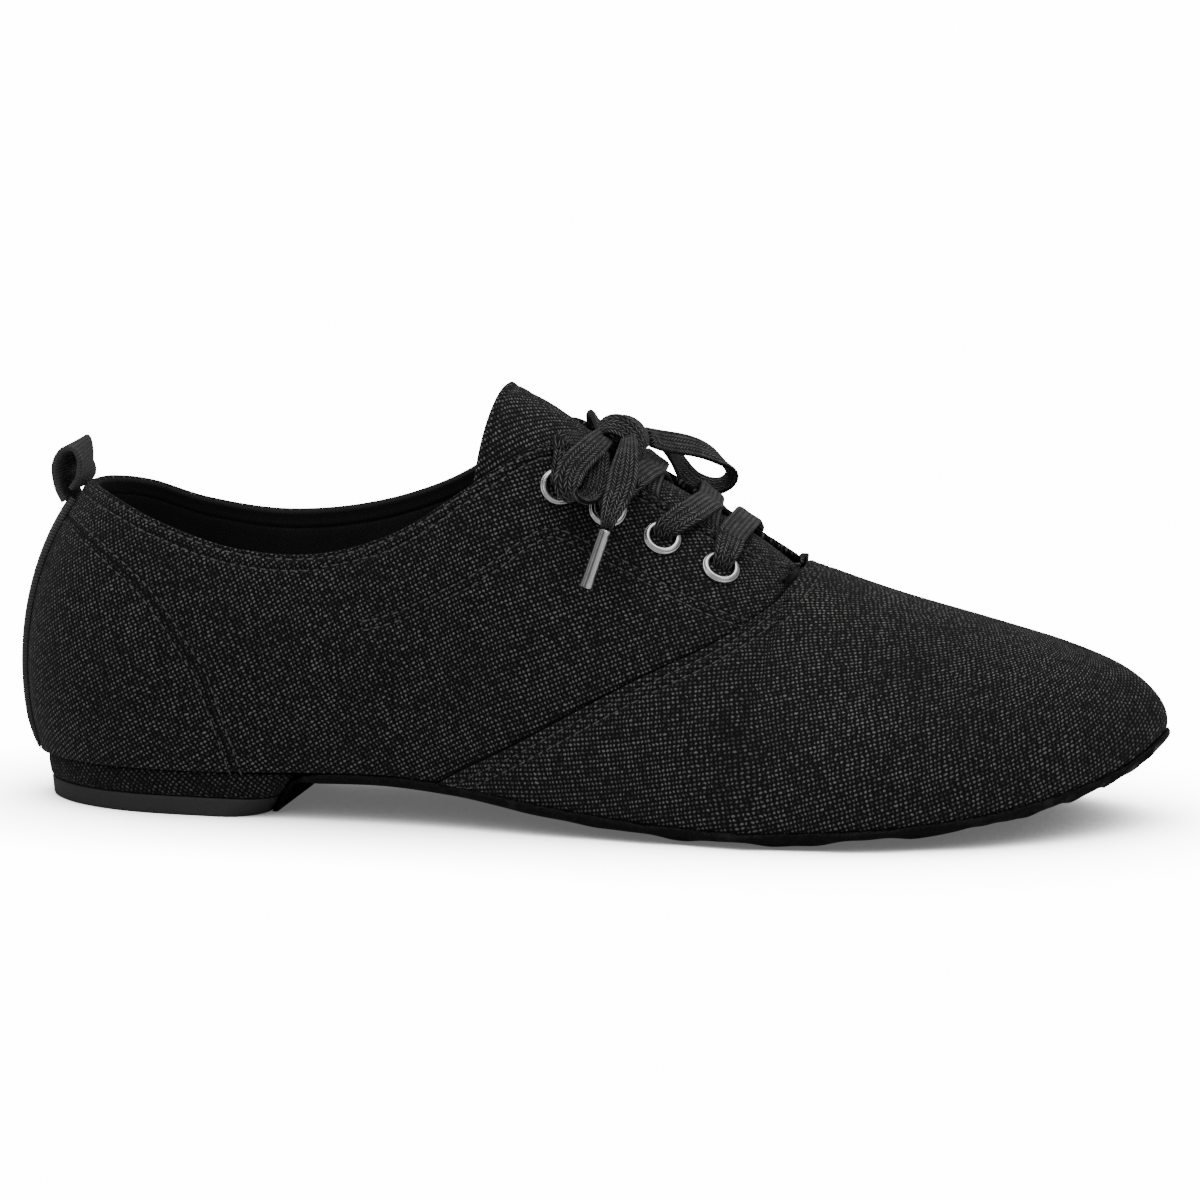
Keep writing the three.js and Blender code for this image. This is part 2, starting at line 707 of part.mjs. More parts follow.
/** A closed solid through rings of equal count, with flat ends. */
function loft(rings) {
  const positions = [];
  const count = rings[0].length;
  for (let i = 0; i + 1 < rings.length; i += 1) {
    for (let j = 0; j < count; j += 1) {
      const next = (j + 1) % count;
      addQuad(positions, rings[i][j], rings[i][next], rings[i + 1][next], rings[i + 1][j]);
    }
  }
  for (const [ring, turned] of [[rings[0], true], [rings[rings.length - 1], false]]) {
    const middle = new THREE.Vector3();
    ring.forEach((p) => middle.addScaledVector(p, 1 / count));
    ring.forEach((p, j) => {
      const q = ring[(j + 1) % count];
      const corners = turned ? [middle, q, p] : [middle, p, q];
      corners.forEach((corner) => positions.push(corner.x, corner.y, corner.z));
    });
  }
  return closedGeometry(positions);
}

const FLAP_SETBACK = FLAP_THICKNESS + CLEARANCE;

/** The heel's inset from the feather line: more towards the floor. */
function heelInset(z) {
  return HEEL_INSET + HEEL_TAPER * (1 - z / HEEL_SEAT);
}

/** One layer of the heel, between two heights. */
function heelLayer(low, high) {
  return loft([low, high].map((z) => heelRing(z, heelInset(z), FLAP_SETBACK)));
}

// The sole's stations along the shoe, from the flap's foot on the heel breast to the toe.
const SOLE_STEPS = 28;
const SOLE_COLUMNS = 8;
const FLAP_STEPS = 3;

/** The leather sole: dished under the ball, sprung at the toe, and turned down the breast as a flap. */
function soleGeometry() {
  const bend = breastX(HEEL_SEAT) + SOLE_THICKNESS;
  const start = placeAt(bend);
  const top = [];
  const bottom = [];
  for (let i = 0; i < FLAP_STEPS; i += 1) {
    const z = CLEARANCE + (i / FLAP_STEPS) * (HEEL_SEAT - CLEARANCE);
    const line = (depth) => {
      const points = [];
      const outer = heelBreadth(OUTER, breastX(z) - CLEARANCE, z, heelInset(z));
      const inner = heelBreadth(INNER, breastX(z) - CLEARANCE, z, heelInset(z));
      for (let j = 0; j <= SOLE_COLUMNS; j += 1) {
        const y = THREE.MathUtils.lerp(-outer, inner, j / SOLE_COLUMNS);
        points.push(new THREE.Vector3(breastX(z) - depth, y, z));
      }
      return points;
    };
    top.push(line(FLAP_THICKNESS));
    bottom.push(line(0));
  }
  for (let i = 0; i <= SOLE_STEPS; i += 1) {
    const k = start + ((LAST - start) * i) / SOLE_STEPS;
    const above = [];
    const below = [];
    for (let j = 0; j <= SOLE_COLUMNS; j += 1) {
      const margin = SOLE_MARGIN * featherShare('margin', k);
      const point = bedPoint(k, j / SOLE_COLUMNS, margin);
      point.z -= CLEARANCE;
      const under = point.clone();
      under.z = Math.max(point.z - SOLE_THICKNESS, 0);
      above.push(point);
      below.push(under);
    }
    top.push(above);
    bottom.push(below);
  }
  return slab(top.length - 1, SOLE_COLUMNS, (i, j) => top[i][j], (i, j) => bottom[i][j]);
}

/** The insole: a thin board on the foot bed, clear of the upper's wall. */
function insoleGeometry() {
  const steps = 24;
  const columns = 4;
  const place = (i) => (LAST * i) / steps;
  const lower = (i, j) => bedPoint(place(i), j / columns, -(WALL + CLEARANCE));
  const upper = (i, j) => lower(i, j).addScaledVector(UP, INSOLE_THICKNESS);
  return slab(steps, columns, upper, lower);
}

const tongueCrest = new THREE.CatmullRomCurve3(
  TONGUE_CREST.map(
    (row) => new THREE.Vector3(BACK_X + row.along * LENGTH, 0, BALL_SEAT + row.up * INSTEP_RISE),
  ),
);
const TONGUE_LEAN = [0.026, -0.005];
const TONGUE_NARROWING = 0.92;

/** A point of the tongue: along from under the vamp to the free end, across as an angle from the crest. */
function tonguePoint(along, angle, depth) {
  const half = TONGUE_SPREAD * BALL_WIDTH * THREE.MathUtils.lerp(TONGUE_NARROWING, 1, along) - depth;
  const p = tongueCrest.getPoint(along);
  p.y = BALL_WIDTH * THREE.MathUtils.lerp(...TONGUE_LEAN, along) + half * Math.sin(angle);
  p.z -= depth + (TONGUE_ARCH - depth) * (1 - Math.cos(angle));
  p.x -= TONGUE_SWEEP * along * Math.sin(angle) ** 2;
  return p;
}

/** The tongue: an arched sheet from under the vamp to its free end above the collar. */
function tongueGeometry() {
  const steps = 12;
  const columns = 10;
  const widest = THREE.MathUtils.degToRad(80);
  const point = (i, j, depth) => tonguePoint(i / steps, widest * ((2 * j) / columns - 1), depth);
  return slab(steps, columns, (i, j) => point(i, j, 0), (i, j) => point(i, j, TONGUE_THICKNESS));
}

/** A point over the tongue's outer face at a distance along the shoe and across it. */
function overTongue(x, y, height) {
  let low = 0;
  let high = 1;
  while (high - low > 1e-4) {
    const middle = (low + high) / 2;
    if (tongueCrest.getPoint(middle).x > x) {
      low = middle;
    } else {
      high = middle;
    }
  }
  const half = TONGUE_SPREAD * BALL_WIDTH * THREE.MathUtils.lerp(TONGUE_NARROWING, 1, low);
  const angle = Math.asin((y - BALL_WIDTH * THREE.MathUtils.lerp(...TONGUE_LEAN, low)) / half);
  const point = tonguePoint(low, angle, 0);
  const face = new THREE.Vector3(INSTEP_SLOPE, (TONGUE_ARCH / half) * Math.tan(angle), 1).normalize();
  return { point: point.addScaledVector(face, height), face };
}

/** A flat lace along stops of a point and the way its face looks, with a section of eight corners. */
function laceGeometry(stops, steps, width) {
  const path = new THREE.CatmullRomCurve3(stops.map((stop) => stop.point));
  const faces = new THREE.CatmullRomCurve3(stops.map((stop) => stop.face));
  const rings = [];
  for (let i = 0; i <= steps; i += 1) {
    const forward = path.getTangent(i / steps);
    const across = forward.clone().cross(faces.getPoint(i / steps)).normalize();
    const face = across.clone().cross(forward).normalize();
    const ring = [];
    for (const corner of LACE_SECTION) {
      const point = path.getPoint(i / steps);
      point.addScaledVector(across, corner.across * width);
      ring.push(point.addScaledVector(face, corner.up * LACE_THICKNESS));
    }
    rings.push(ring);
  }
  return loft(rings);
}

/** The stops of a lace from an eyelet's middle over the wall to the throat's edge, leaning to the toe. */
function stopsOverWall(side, seat, lean) {
  return LACE_CLIMB.map(({ share, height }) => {
    const k = seat.k + lean * share;
    const t = THREE.MathUtils.lerp(seat.t, 1, share);
    return { point: upperPoint(side, k, t, height), face: outward(side, k, t) };
  });
}

/** The place in the throat beside an edge, just over the tongue, where a strand comes out from under it. */
function underEdge(side, seat) {
  const edge = upperPoint(side, seat.k - UNDER_BACK, 1, 0);
  const y = edge.y - side * LACE_WIDTH * UNDER_SHARE;
  return overTongue(edge.x, y, LACE_LOW);
}

/** The lowest bar: from eyelet to eyelet straight over the throat. */
function laceBarGeometry() {
  const lowest = EYELET_ROWS.length - 1;
  const outer = stopsOverWall(OUTER, eyeletSeats[lowest], 0);
  const inner = stopsOverWall(INNER, eyeletSeats[lowest + EYELET_ROWS.length], 0).reverse();
  const edge = outer[outer.length - 1].point.clone().add(inner[0].point).multiplyScalar(0.5);
  const middle = overTongue(edge.x, edge.y, CLEARANCE + LACE_THICKNESS);
  middle.point.z = Math.max(middle.point.z, edge.z + LACE_THICKNESS);
  return laceGeometry([...outer, middle, ...inner], 12, LACE_WIDTH);
}

/** A crossing: two strands, each from under one edge and over the other into the eyelet behind. */
function laceCrossingGeometry(number) {
  const strand = (side) => {
    const shift = side === OUTER ? 0 : EYELET_ROWS.length;
    const opposite = EYELET_ROWS.length - shift;
    const over = stopsOverWall(side, eyeletSeats[number + shift], LACE_LEAN);
    const under = underEdge(-side, eyeletSeats[number + 1 + opposite]);
    const edge = over[over.length - 1].point;
    const middle = overTongue((edge.x + under.point.x) / 2, 0, LACE_LOW + 2 * CLEARANCE);
    return solid(laceGeometry([...over, middle, under], 10, LACE_WIDTH));
  };
  return geometryOf(strand(OUTER).add(strand(INNER)));
}

const bowOrigin = overTongue(BACK_X + TIE_ALONG * LENGTH, 0, 0).point;

/** The half knot: from both top eyelets the lace meets in the middle, under the bow's knot. */
function laceTieGeometry() {
  const strand = (side) => {
    const seat = eyeletSeats[side === OUTER ? 0 : EYELET_ROWS.length];
    const over = stopsOverWall(side, seat, TIE_LEAN);
    const beside = overTongue(bowOrigin.x - TIE_REACH, side * LACE_WIDTH, LACE_LOW);
    const middle = overTongue(bowOrigin.x, -side, LACE_LOW);
    return solid(laceGeometry([...over, beside, middle], 10, TIE_WIDTH));
  };
  return geometryOf(strand(OUTER).add(strand(INNER)));
}

/** A point of the bow. */
function bowPoint(x, y, z) {
  return new THREE.Vector3(x, y, z).add(bowOrigin);
}

/** Stops of a free lace from the rows of a route. */
function freeStops(route) {
  return route.map((row) => ({
    point: bowPoint(row.x, row.y, row.z),
    face: new THREE.Vector3(row.faceX, row.faceY, row.faceZ),
  }));
}

/** The metal aglet on a lace's tip: a tube that widens to a rim at its free end. */
function agletGeometry(from, towards) {
  const profile = [
    [0, 0],
    [AGLET_RADIUS * 0.8, 0],
    [AGLET_RADIUS * 0.9, AGLET_LENGTH * 0.9],
    [AGLET_RADIUS, AGLET_LENGTH],
    [0, AGLET_LENGTH],
  ].map(([r, h]) => new THREE.Vector2(r, h));
  const tube = new THREE.LatheGeometry(profile, 10).rotateX(Math.PI / 2);
  const axis = towards.clone().sub(from).normalize();
  return standOn(tube, { centre: from.clone().addScaledVector(axis, CLEARANCE), axis });
}

/** The knot: a flattened ball that leans with the instep. */
function knotGeometry() {
  const ball = new THREE.SphereGeometry(1, 10, 7).scale(...KNOT_RADII);
  ball.rotateY(Math.atan(INSTEP_SLOPE));
  ball.translate(...bowPoint(...KNOT_CENTRE));
  return ball;
}

/** The pull loop: a folded tape that stands on the heel's back seam. */
function pullLoopGeometry() {
  const steps = 18;
  const collar = ribAt(OUTER, 0)[3];
  const stops = PULL_LOOP.map((row) => new THREE.Vector3(collar.x - row.back, 0, collar.z + row.up));
  const path = new THREE.CatmullRomCurve3(stops);
  const point = (i, j, depth) => {
    const p = path.getPoint(i / steps);
    const forward = path.getTangent(i / steps);
    p.y = (j - 0.5) * TAPE_WIDTH;
    return p.add(new THREE.Vector3(-forward.z, 0, forward.x).multiplyScalar(depth));
  };
  const half = TAPE_THICKNESS / 2;
  return slab(steps, 1, (i, j) => point(i, j, half), (i, j) => point(i, j, -half));
}

/** The back strip: a raised tape over the heel's back seam, between two larger forms of the upper. */
function backStripGeometry() {
  const form = solid(upperShell(CLEARANCE, CLEARANCE + BACK_STRIP_STEP));
  const height = INSTEP_RISE * TOP_LINE[0].outerRise - STRIP_END;
  const box = new THREE.BoxGeometry(LENGTH / 4, BACK_STRIP_WIDTH, height);
  box.translate(BACK_X, 0, HEEL_SEAT + height / 2 + CLEARANCE);
  return geometryOf(form.intersect(solid(box)));
}

const materials = {
  canvas: { color: 0x161616, roughness: 0.9, metalness: 0 },
  lining: { color: 0x0d0d0d, roughness: 0.85, metalness: 0 },
  leather: { color: 0x0c0c0c, roughness: 0.6, metalness: 0 },
  rubber: { color: 0x262728, roughness: 0.7, metalness: 0 },
  tape: { color: 0x181818, roughness: 0.9, metalness: 0 },
  lace: { color: 0x1b1b1b, roughness: 0.8, metalness: 0 },
  nickel: { color: 0xc8c8c8, roughness: 0.25, metalness: 1 },
};

const group = new THREE.Group();

/** Adds a named mesh with a material of its own. */
function add(name, geometry, material) {
  const mesh = new THREE.Mesh(geometry, new THREE.MeshStandardMaterial(materials[material]));
  mesh.name = name;
  group.add(mesh);
}

add('upper', upperGeometry(), 'canvas');
add('tongue', tongueGeometry(), 'canvas');
add('insole', insoleGeometry(), 'lining');
add('outsole', soleGeometry(), 'leather');
add('heel_block', heelLayer(LIFT_THICKNESS + CLEARANCE, HEEL_SEAT - CLEARANCE), 'canvas');
add('heel_lift', heelLayer(0, LIFT_THICKNESS), 'rubber');
add('back_strip', backStripGeometry(), 'tape');
eyeletSeats.forEach((seat, i) => {
  const side = i < EYELET_ROWS.length ? 'outer' : 'inner';
  add(`eyelet_${side}_${(i % EYELET_ROWS.length) + 1}`, eyeletGeometry(seat), 'nickel');
});

add('lace_bar', laceBarGeometry(), 'lace');
add('lace_tie', laceTieGeometry(), 'lace');
for (let number = 1; number + 1 < EYELET_ROWS.length; number += 1) {
  add(`lace_crossing_${number}`, laceCrossingGeometry(number), 'lace');
}
add('lace_knot', knotGeometry(), 'lace');
add('lace_loop_outer', laceGeometry(freeStops(OUTER_LOOP), 18, OUTER_LOOP_WIDTH), 'lace');
add('lace_loop_inner', laceGeometry(freeStops(INNER_LOOP), 18, INNER_LOOP_WIDTH), 'lace');
const freeEnds = [
  ['outer', OUTER_END, OUTER_AGLET_TIP],
  ['inner', INNER_END, INNER_AGLET_TIP],
];
for (const [side, route, tip] of freeEnds) {
  const stops = freeStops(route);
  add(`lace_end_${side}`, laceGeometry(stops, 8, LACE_WIDTH), 'lace');
  const end = stops[stops.length - 1].point;
  add(`aglet_${side}`, agletGeometry(end, bowPoint(...tip)), 'nickel');
}
add('pull_loop', pullLoopGeometry(), 'tape');

export default group;
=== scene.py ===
"""A black canvas jazz shoe, the right one of a pair, dressed for the camera.

Sizes are in millimetres and in the part's frame: X to the toe, -Y to the outer side of the foot, Z up,
with the origin at the middle of the heel's rest face. Meshes are turned to metres as they are made.
"""

import logging
import math
from dataclasses import dataclass, field
from enum import Enum
from functools import cached_property

import bmesh
import bpy
import numpy as np
from mathutils import Matrix, Vector
from mathutils.bvhtree import BVHTree


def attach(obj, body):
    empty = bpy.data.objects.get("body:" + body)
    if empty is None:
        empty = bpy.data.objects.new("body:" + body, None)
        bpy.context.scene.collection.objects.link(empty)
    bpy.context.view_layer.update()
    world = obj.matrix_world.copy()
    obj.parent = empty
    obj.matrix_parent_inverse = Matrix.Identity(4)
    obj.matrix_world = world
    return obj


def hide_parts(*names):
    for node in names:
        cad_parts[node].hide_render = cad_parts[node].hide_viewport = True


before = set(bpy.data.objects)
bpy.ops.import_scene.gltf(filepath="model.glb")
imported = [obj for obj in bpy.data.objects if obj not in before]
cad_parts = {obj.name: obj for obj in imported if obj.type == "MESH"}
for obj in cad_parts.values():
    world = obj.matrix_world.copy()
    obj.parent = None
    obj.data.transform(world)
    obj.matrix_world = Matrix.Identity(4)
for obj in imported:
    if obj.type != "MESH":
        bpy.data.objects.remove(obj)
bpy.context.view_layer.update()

LOG = logging.getLogger("jazz_shoe")
MM = 0.001
# Corners nearer than this become one, in millimetres.
MERGE = 0.004
# The cloth's places are kept small in the UV layer: this many millimetres to one.
CLOTH_SCALE = 10.0


class Side(Enum):
    """The two sides of the foot."""

    OUTER = -1
    INNER = 1


def between(rows: tuple, f: np.ndarray) -> np.ndarray:
    """Blend four rows in order into a smooth curve, at shares of the way from the second to the third."""
    before, start, end, after = rows
    bend = 2 * before - 5 * start + 4 * end - after
    twist = 3 * start - before - 3 * end + after
    return 0.5 * (2 * start + (end - before) * f + bend * f**2 + twist * f**3)


def curve_through(stops: np.ndarray, count: int) -> np.ndarray:
    """Run a smooth curve through rows of numbers.

    Args:
        stops: Rows that the curve passes, such as points.
        count: How many rows come back.

    Returns:
        Rows evenly spread over the stops.
    """
    stops = np.asarray(stops, float)
    ends = (2 * stops[:1] - stops[1:2], 2 * stops[-1:] - stops[-2:-1])
    padded = np.concatenate([ends[0], stops, ends[1]])
    place = np.linspace(0, len(stops) - 1, count)
    index = np.minimum(place.astype(int), len(stops) - 2)
    f = (place - index).reshape((-1,) + (1,) * (stops.ndim - 1))
    return between(tuple(padded[index + step] for step in range(4)), f)


def length_along(points: np.ndarray) -> np.ndarray:
    """Add up the distances from the first point of a line to each of its points."""
    steps = np.linalg.norm(np.diff(points, axis=0), axis=-1)
    return np.concatenate([[0.0], np.cumsum(steps)])


def unit(vectors: np.ndarray) -> np.ndarray:
    """Scale vectors to length one."""
    return vectors / np.maximum(np.linalg.norm(vectors, axis=-1, keepdims=True), 1e-9)


def eased(count: int) -> np.ndarray:
    """Give shares from nothing to one that lie closer together at both ends."""
    return 0.5 - 0.5 * np.cos(np.linspace(0, math.pi, count))


def rolled(away: np.ndarray, rim: float) -> np.ndarray:
    """Give how far a rolled edge falls away at distances from it, in a quarter round."""
    fall = rim * (1 - np.sqrt(np.clip(1 - ((rim - away) / rim) ** 2, 0, 1)))
    return np.where(away < rim, fall, 0)


def bell(distance: np.ndarray, width: float) -> np.ndarray:
    """Give a soft bump of height one round zero distance."""
    return np.exp(-((np.asarray(distance) / width) ** 2))


def make_piece(
    name: str,
    points: np.ndarray,
    faces: list,
    uv: np.ndarray | None = None,
    layers: dict | None = None,
) -> bpy.types.Object:
    """Make a closed, smooth piece whose faces point outwards.

    Args:
        name: The piece's name.
        points: Corners in millimetres.
        faces: Corner numbers of each face.
        uv: A place in the cloth for each corner, in millimetres.
        layers: Numbers for each corner under a layer's name.

    Returns:
        The piece, at the origin, in metres.
    """
    mesh = bpy.data.meshes.new(name)
    mesh.from_pydata((np.asarray(points) * MM).tolist(), [], faces)
    if uv is not None:
        loops = np.zeros(len(mesh.loops), dtype=np.int32)
        mesh.loops.foreach_get("vertex_index", loops)
        cloth = mesh.uv_layers.new(name="cloth")
        cloth.data.foreach_set("uv", (np.asarray(uv)[loops] / CLOTH_SCALE).astype(np.float32).ravel())
    for key, values in (layers or {}).items():
        layer = mesh.attributes.new(key, "FLOAT", "POINT")
        layer.data.foreach_set("value", np.asarray(values, np.float32))
    shape = bmesh.new()
    shape.from_mesh(mesh)
    bmesh.ops.remove_doubles(shape, verts=shape.verts, dist=MERGE * MM)
    bmesh.ops.dissolve_degenerate(shape, edges=shape.edges, dist=1e-7)
    if shape.calc_volume(signed=True) < 0:
        bmesh.ops.reverse_faces(shape, faces=shape.faces)
    for face in shape.faces:
        face.smooth = True
    shape.to_mesh(mesh)
    shape.free()
    mesh.update()
    piece = bpy.data.objects.new(name, mesh)
    bpy.context.scene.collection.objects.link(piece)
    return piece


def grid_faces(rows: int, columns: int, start: int = 0, turned: bool = False) -> list:
    """List the faces of a grid of corners.

    Args:
        rows: Corners down the grid.
        columns: Corners across the grid.
        start: The number of the grid's first corner.
        turned: Whether the faces look the other way.

    Returns:
        Four corner numbers for each face.
    """
    faces = []
    for i in range(rows - 1):
        for j in range(columns - 1):
            a = start + i * columns + j
            b = a + columns
            face = (a, b, b + 1, a + 1)
            faces.append(face[::-1] if turned else face)
    return faces


def slab(
    name: str,
    upper: np.ndarray,
    lower: np.ndarray,
    uv: np.ndarray | None = None,
    layers: dict | None = None,
) -> bpy.types.Object:
    """Make a closed piece between two grids of points.

    Args:
        name: The piece's name.
        upper: The outer face's points, rows by columns.
        lower: The inner face's points.
        uv: The cloth's places for both grids.
        layers: Numbers over the grid under a layer's name.

    Returns:
        The piece.
    """
    rows, columns = upper.shape[:2]
    count = rows * columns
    faces = grid_faces(rows, columns) + grid_faces(rows, columns, count, turned=True)
    last = (rows - 1) * columns
    for j in range(columns - 1):
        faces.append((j, j + 1, count + j + 1, count + j))
        faces.append((last + j, count + last + j, count + last + j + 1, last + j + 1))
    for i in range(rows - 1):
        a, b = i * columns, (i + 1) * columns
        faces.append((a, count + a, count + b, b))
        a, b = a + columns - 1, b + columns - 1
        faces.append((a, b, count + b, count + a))
    points = np.concatenate([upper.reshape(-1, 3), lower.reshape(-1, 3)])
    if uv is not None:
        uv = np.concatenate([uv.reshape(-1, 2)] * 2)
    doubled = {key: np.concatenate([values.ravel()] * 2) for key, values in (layers or {}).items()}
    return make_piece(name, points, faces, uv, doubled)


def tube(name: str, rings: np.ndarray, uv: np.ndarray | None = None) -> bpy.types.Object:
    """Make a closed piece through rings of equal count, with its ends filled.

    Args:
        name: The piece's name.
        rings: Points, ring by ring; each ring's last point repeats its first.
        uv: The cloth's places for the rings.

    Returns:
        The piece.
    """
    count, around = rings.shape[:2]
    faces = grid_faces(count, around)
    points = list(rings.reshape(-1, 3))
    places = None if uv is None else list(uv.reshape(-1, 2))
    for ring, turned in ((0, False), (count - 1, True)):
        middle = len(points)
        points.append(rings[ring, :-1].mean(axis=0))
        if places is not None:
            places.append(uv[ring, :-1].mean(axis=0))
        for j in range(around - 1):
            a = ring * around + j
            faces.append((a + 1, a, middle) if turned else (a, a + 1, middle))
    return make_piece(name, np.array(points), faces, None if uv is None else np.array(places))


def join(name: str, pieces: list) -> bpy.types.Object:
    """Join pieces into one and name it."""
    with bpy.context.temp_override(active_object=pieces[0], selected_editable_objects=pieces):
        bpy.ops.object.join()
    pieces[0].name = name
    pieces[0].data.name = name
    return pieces[0]


def ride(piece: bpy.types.Object, slot: str, *nodes: str) -> bpy.types.Object:
    """Put a finished piece on the shoe's body, in place of CAD nodes."""
    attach(piece, "root")
    if nodes:
        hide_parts(*nodes)
    LOG.info("made %s with %d faces", piece.name, len(piece.data.polygons))
    return piece


class Line:
    """A line drawn on the shoe, with a sense of which side of it a point is on."""

    def __init__(self, points: np.ndarray, normals: np.ndarray) -> None:
        """Keep a line's points and the shoe's normals there."""
        self.points = np.asarray(points, float)
        self.normals = np.asarray(normals, float)

    def distance(self, places: np.ndarray, reach: float = 12.0) -> np.ndarray:
        """Measure how far points are from the line, negative on its right hand.

        Args:
            places: Points in millimetres, in any grid.
            reach: The largest distance that counts.

        Returns:
            A distance for each point.
        """
        flat = places.reshape(-1, 3)
        best = np.full(len(flat), reach, float)
        sign = np.ones(len(flat))
        starts, steps = self.points[:-1], np.diff(self.points, axis=0)
        for start, step, normal in zip(starts, steps, self.normals[:-1]):
            share = np.clip((flat - start) @ step / (step @ step), 0, 1)
            off = flat - start - share[:, None] * step
            far = np.linalg.norm(off, axis=-1)
            nearer = far < best
            best[nearer] = far[nearer]
            sign[nearer] = np.sign(off[nearer] @ np.cross(normal, step))
        return (best * sign).reshape(places.shape[:-1])

    def shifted(self, sideways: float) -> "Line":
        """Move the line to its left along the shoe's face, or to its right if negative."""
        steps = unit(np.gradient(self.points, axis=0))
        left = unit(np.cross(self.normals, steps))
        return Line(self.points + left * sideways, self.normals)


# Feather line rows: along, outer, inner, heel, spring.
FEATHER = (
    (0.000, 0.000, 0.000, 1.00, 0.00),
    (0.011, 0.111, 0.111, 1.00, 0.00),
    (0.046, 0.222, 0.222, 1.00, 0.00),
    (0.101, 0.300, 0.294, 1.00, 0.00),
    (0.179, 0.333, 0.322, 1.00, 0.00),
    (0.265, 0.344, 0.306, 1.09, 0.00),
    (0.339, 0.360, 0.300, 1.13, 0.00),
    (0.402, 0.383, 0.313, 0.96, 0.00),
    (0.441, 0.402, 0.329, 0.76, 0.00),
    (0.472, 0.419, 0.344, 0.56, 0.00),
    (0.507, 0.437, 0.367, 0.39, 0.00),
    (0.554, 0.460, 0.397, 0.19, 0.00),
    (0.604, 0.483, 0.430, 0.06, 0.00),
    (0.647, 0.500, 0.458, 0.00, 0.00),
    (0.678, 0.509, 0.472, 0.00, 0.00),
    (0.753, 0.498, 0.489, 0.00, 0.06),
    (0.835, 0.431, 0.450, 0.00, 0.17),
    (0.909, 0.306, 0.361, 0.00, 0.37),
    (0.969, 0.122, 0.211, 0.00, 0.66),
    (1.000, -0.056, 0.056, 0.00, 1.00),
)
# Top line rows: along, outer, inner, outer rise, inner rise.
TOP_LINE = (
    (0.048, 0.000, 0.000, 0.804, 0.804),
    (0.059, 0.094, 0.094, 0.805, 0.805),
    (0.087, 0.189, 0.189, 0.777, 0.780),
    (0.134, 0.264, 0.250, 0.718, 0.722),
    (0.203, 0.311, 0.286, 0.653, 0.687),
    (0.279, 0.328, 0.308, 0.636, 0.701),
    (0.351, 0.333, 0.302, 0.704, 0.773),
    (0.416, 0.300, 0.282, 0.858, 0.914),
    (0.461, 0.233, 0.244, 0.968, 1.003),
    (0.490, 0.183, 0.206, 0.994, 1.006),
    (0.523, 0.161, 0.189, 0.948, 0.955),
    (0.578, 0.139, 0.172, 0.857, 0.872),
    (0.637, 0.117, 0.150, 0.751, 0.764),
    (0.674, 0.072, 0.117, 0.695, 0.698),
    (0.686, -0.022, 0.022, 0.682, 0.682),
    (0.766, -0.022, 0.022, 0.578, 0.578),
    (0.844, -0.028, 0.028, 0.482, 0.482),
    (0.895, -0.033, 0.033, 0.390, 0.390),
    (0.917, -0.033, 0.033, 0.303, 0.303),
    (0.924, -0.033, 0.033, 0.218, 0.218),
)
# Rib rows: facing, flare, rise, spread, drop.
RIBS = (
    (90, 0.071, 0.317, 0.167, 0.263),
    (64, 0.067, 0.320, 0.144, 0.265),
    (36, 0.058, 0.320, 0.117, 0.270),
    (14, 0.053, 0.330, 0.078, 0.280),
    (3, 0.047, 0.340, 0.050, 0.300),
    (0, 0.044, 0.340, 0.050, 0.320),
    (0, 0.050, 0.340, 0.067, 0.320),
    (0, 0.053, 0.330, 0.100, 0.300),
    (0, 0.056, 0.330, 0.128, 0.270),
    (0, 0.058, 0.330, 0.150, 0.250),
    (0, 0.060, 0.330, 0.156, 0.215),
    (0, 0.062, 0.340, 0.178, 0.165),
    (0, 0.064, 0.350, 0.211, 0.120),
    (0, 0.067, 0.360, 0.256, 0.070),
    (0, 0.067, 0.370, 0.289, 0.020),
    (0, 0.067, 0.380, 0.300, 0.000),
    (-3, 0.061, 0.400, 0.278, 0.000),
    (-14, 0.050, 0.420, 0.222, 0.000),
    (-48, 0.033, 0.400, 0.144, 0.000),
    (-90, 0.020, 0.310, 0.139, 0.000),
)
LAST_ROW = 19
THROAT = 14
ROUND = 2 * LAST_ROW


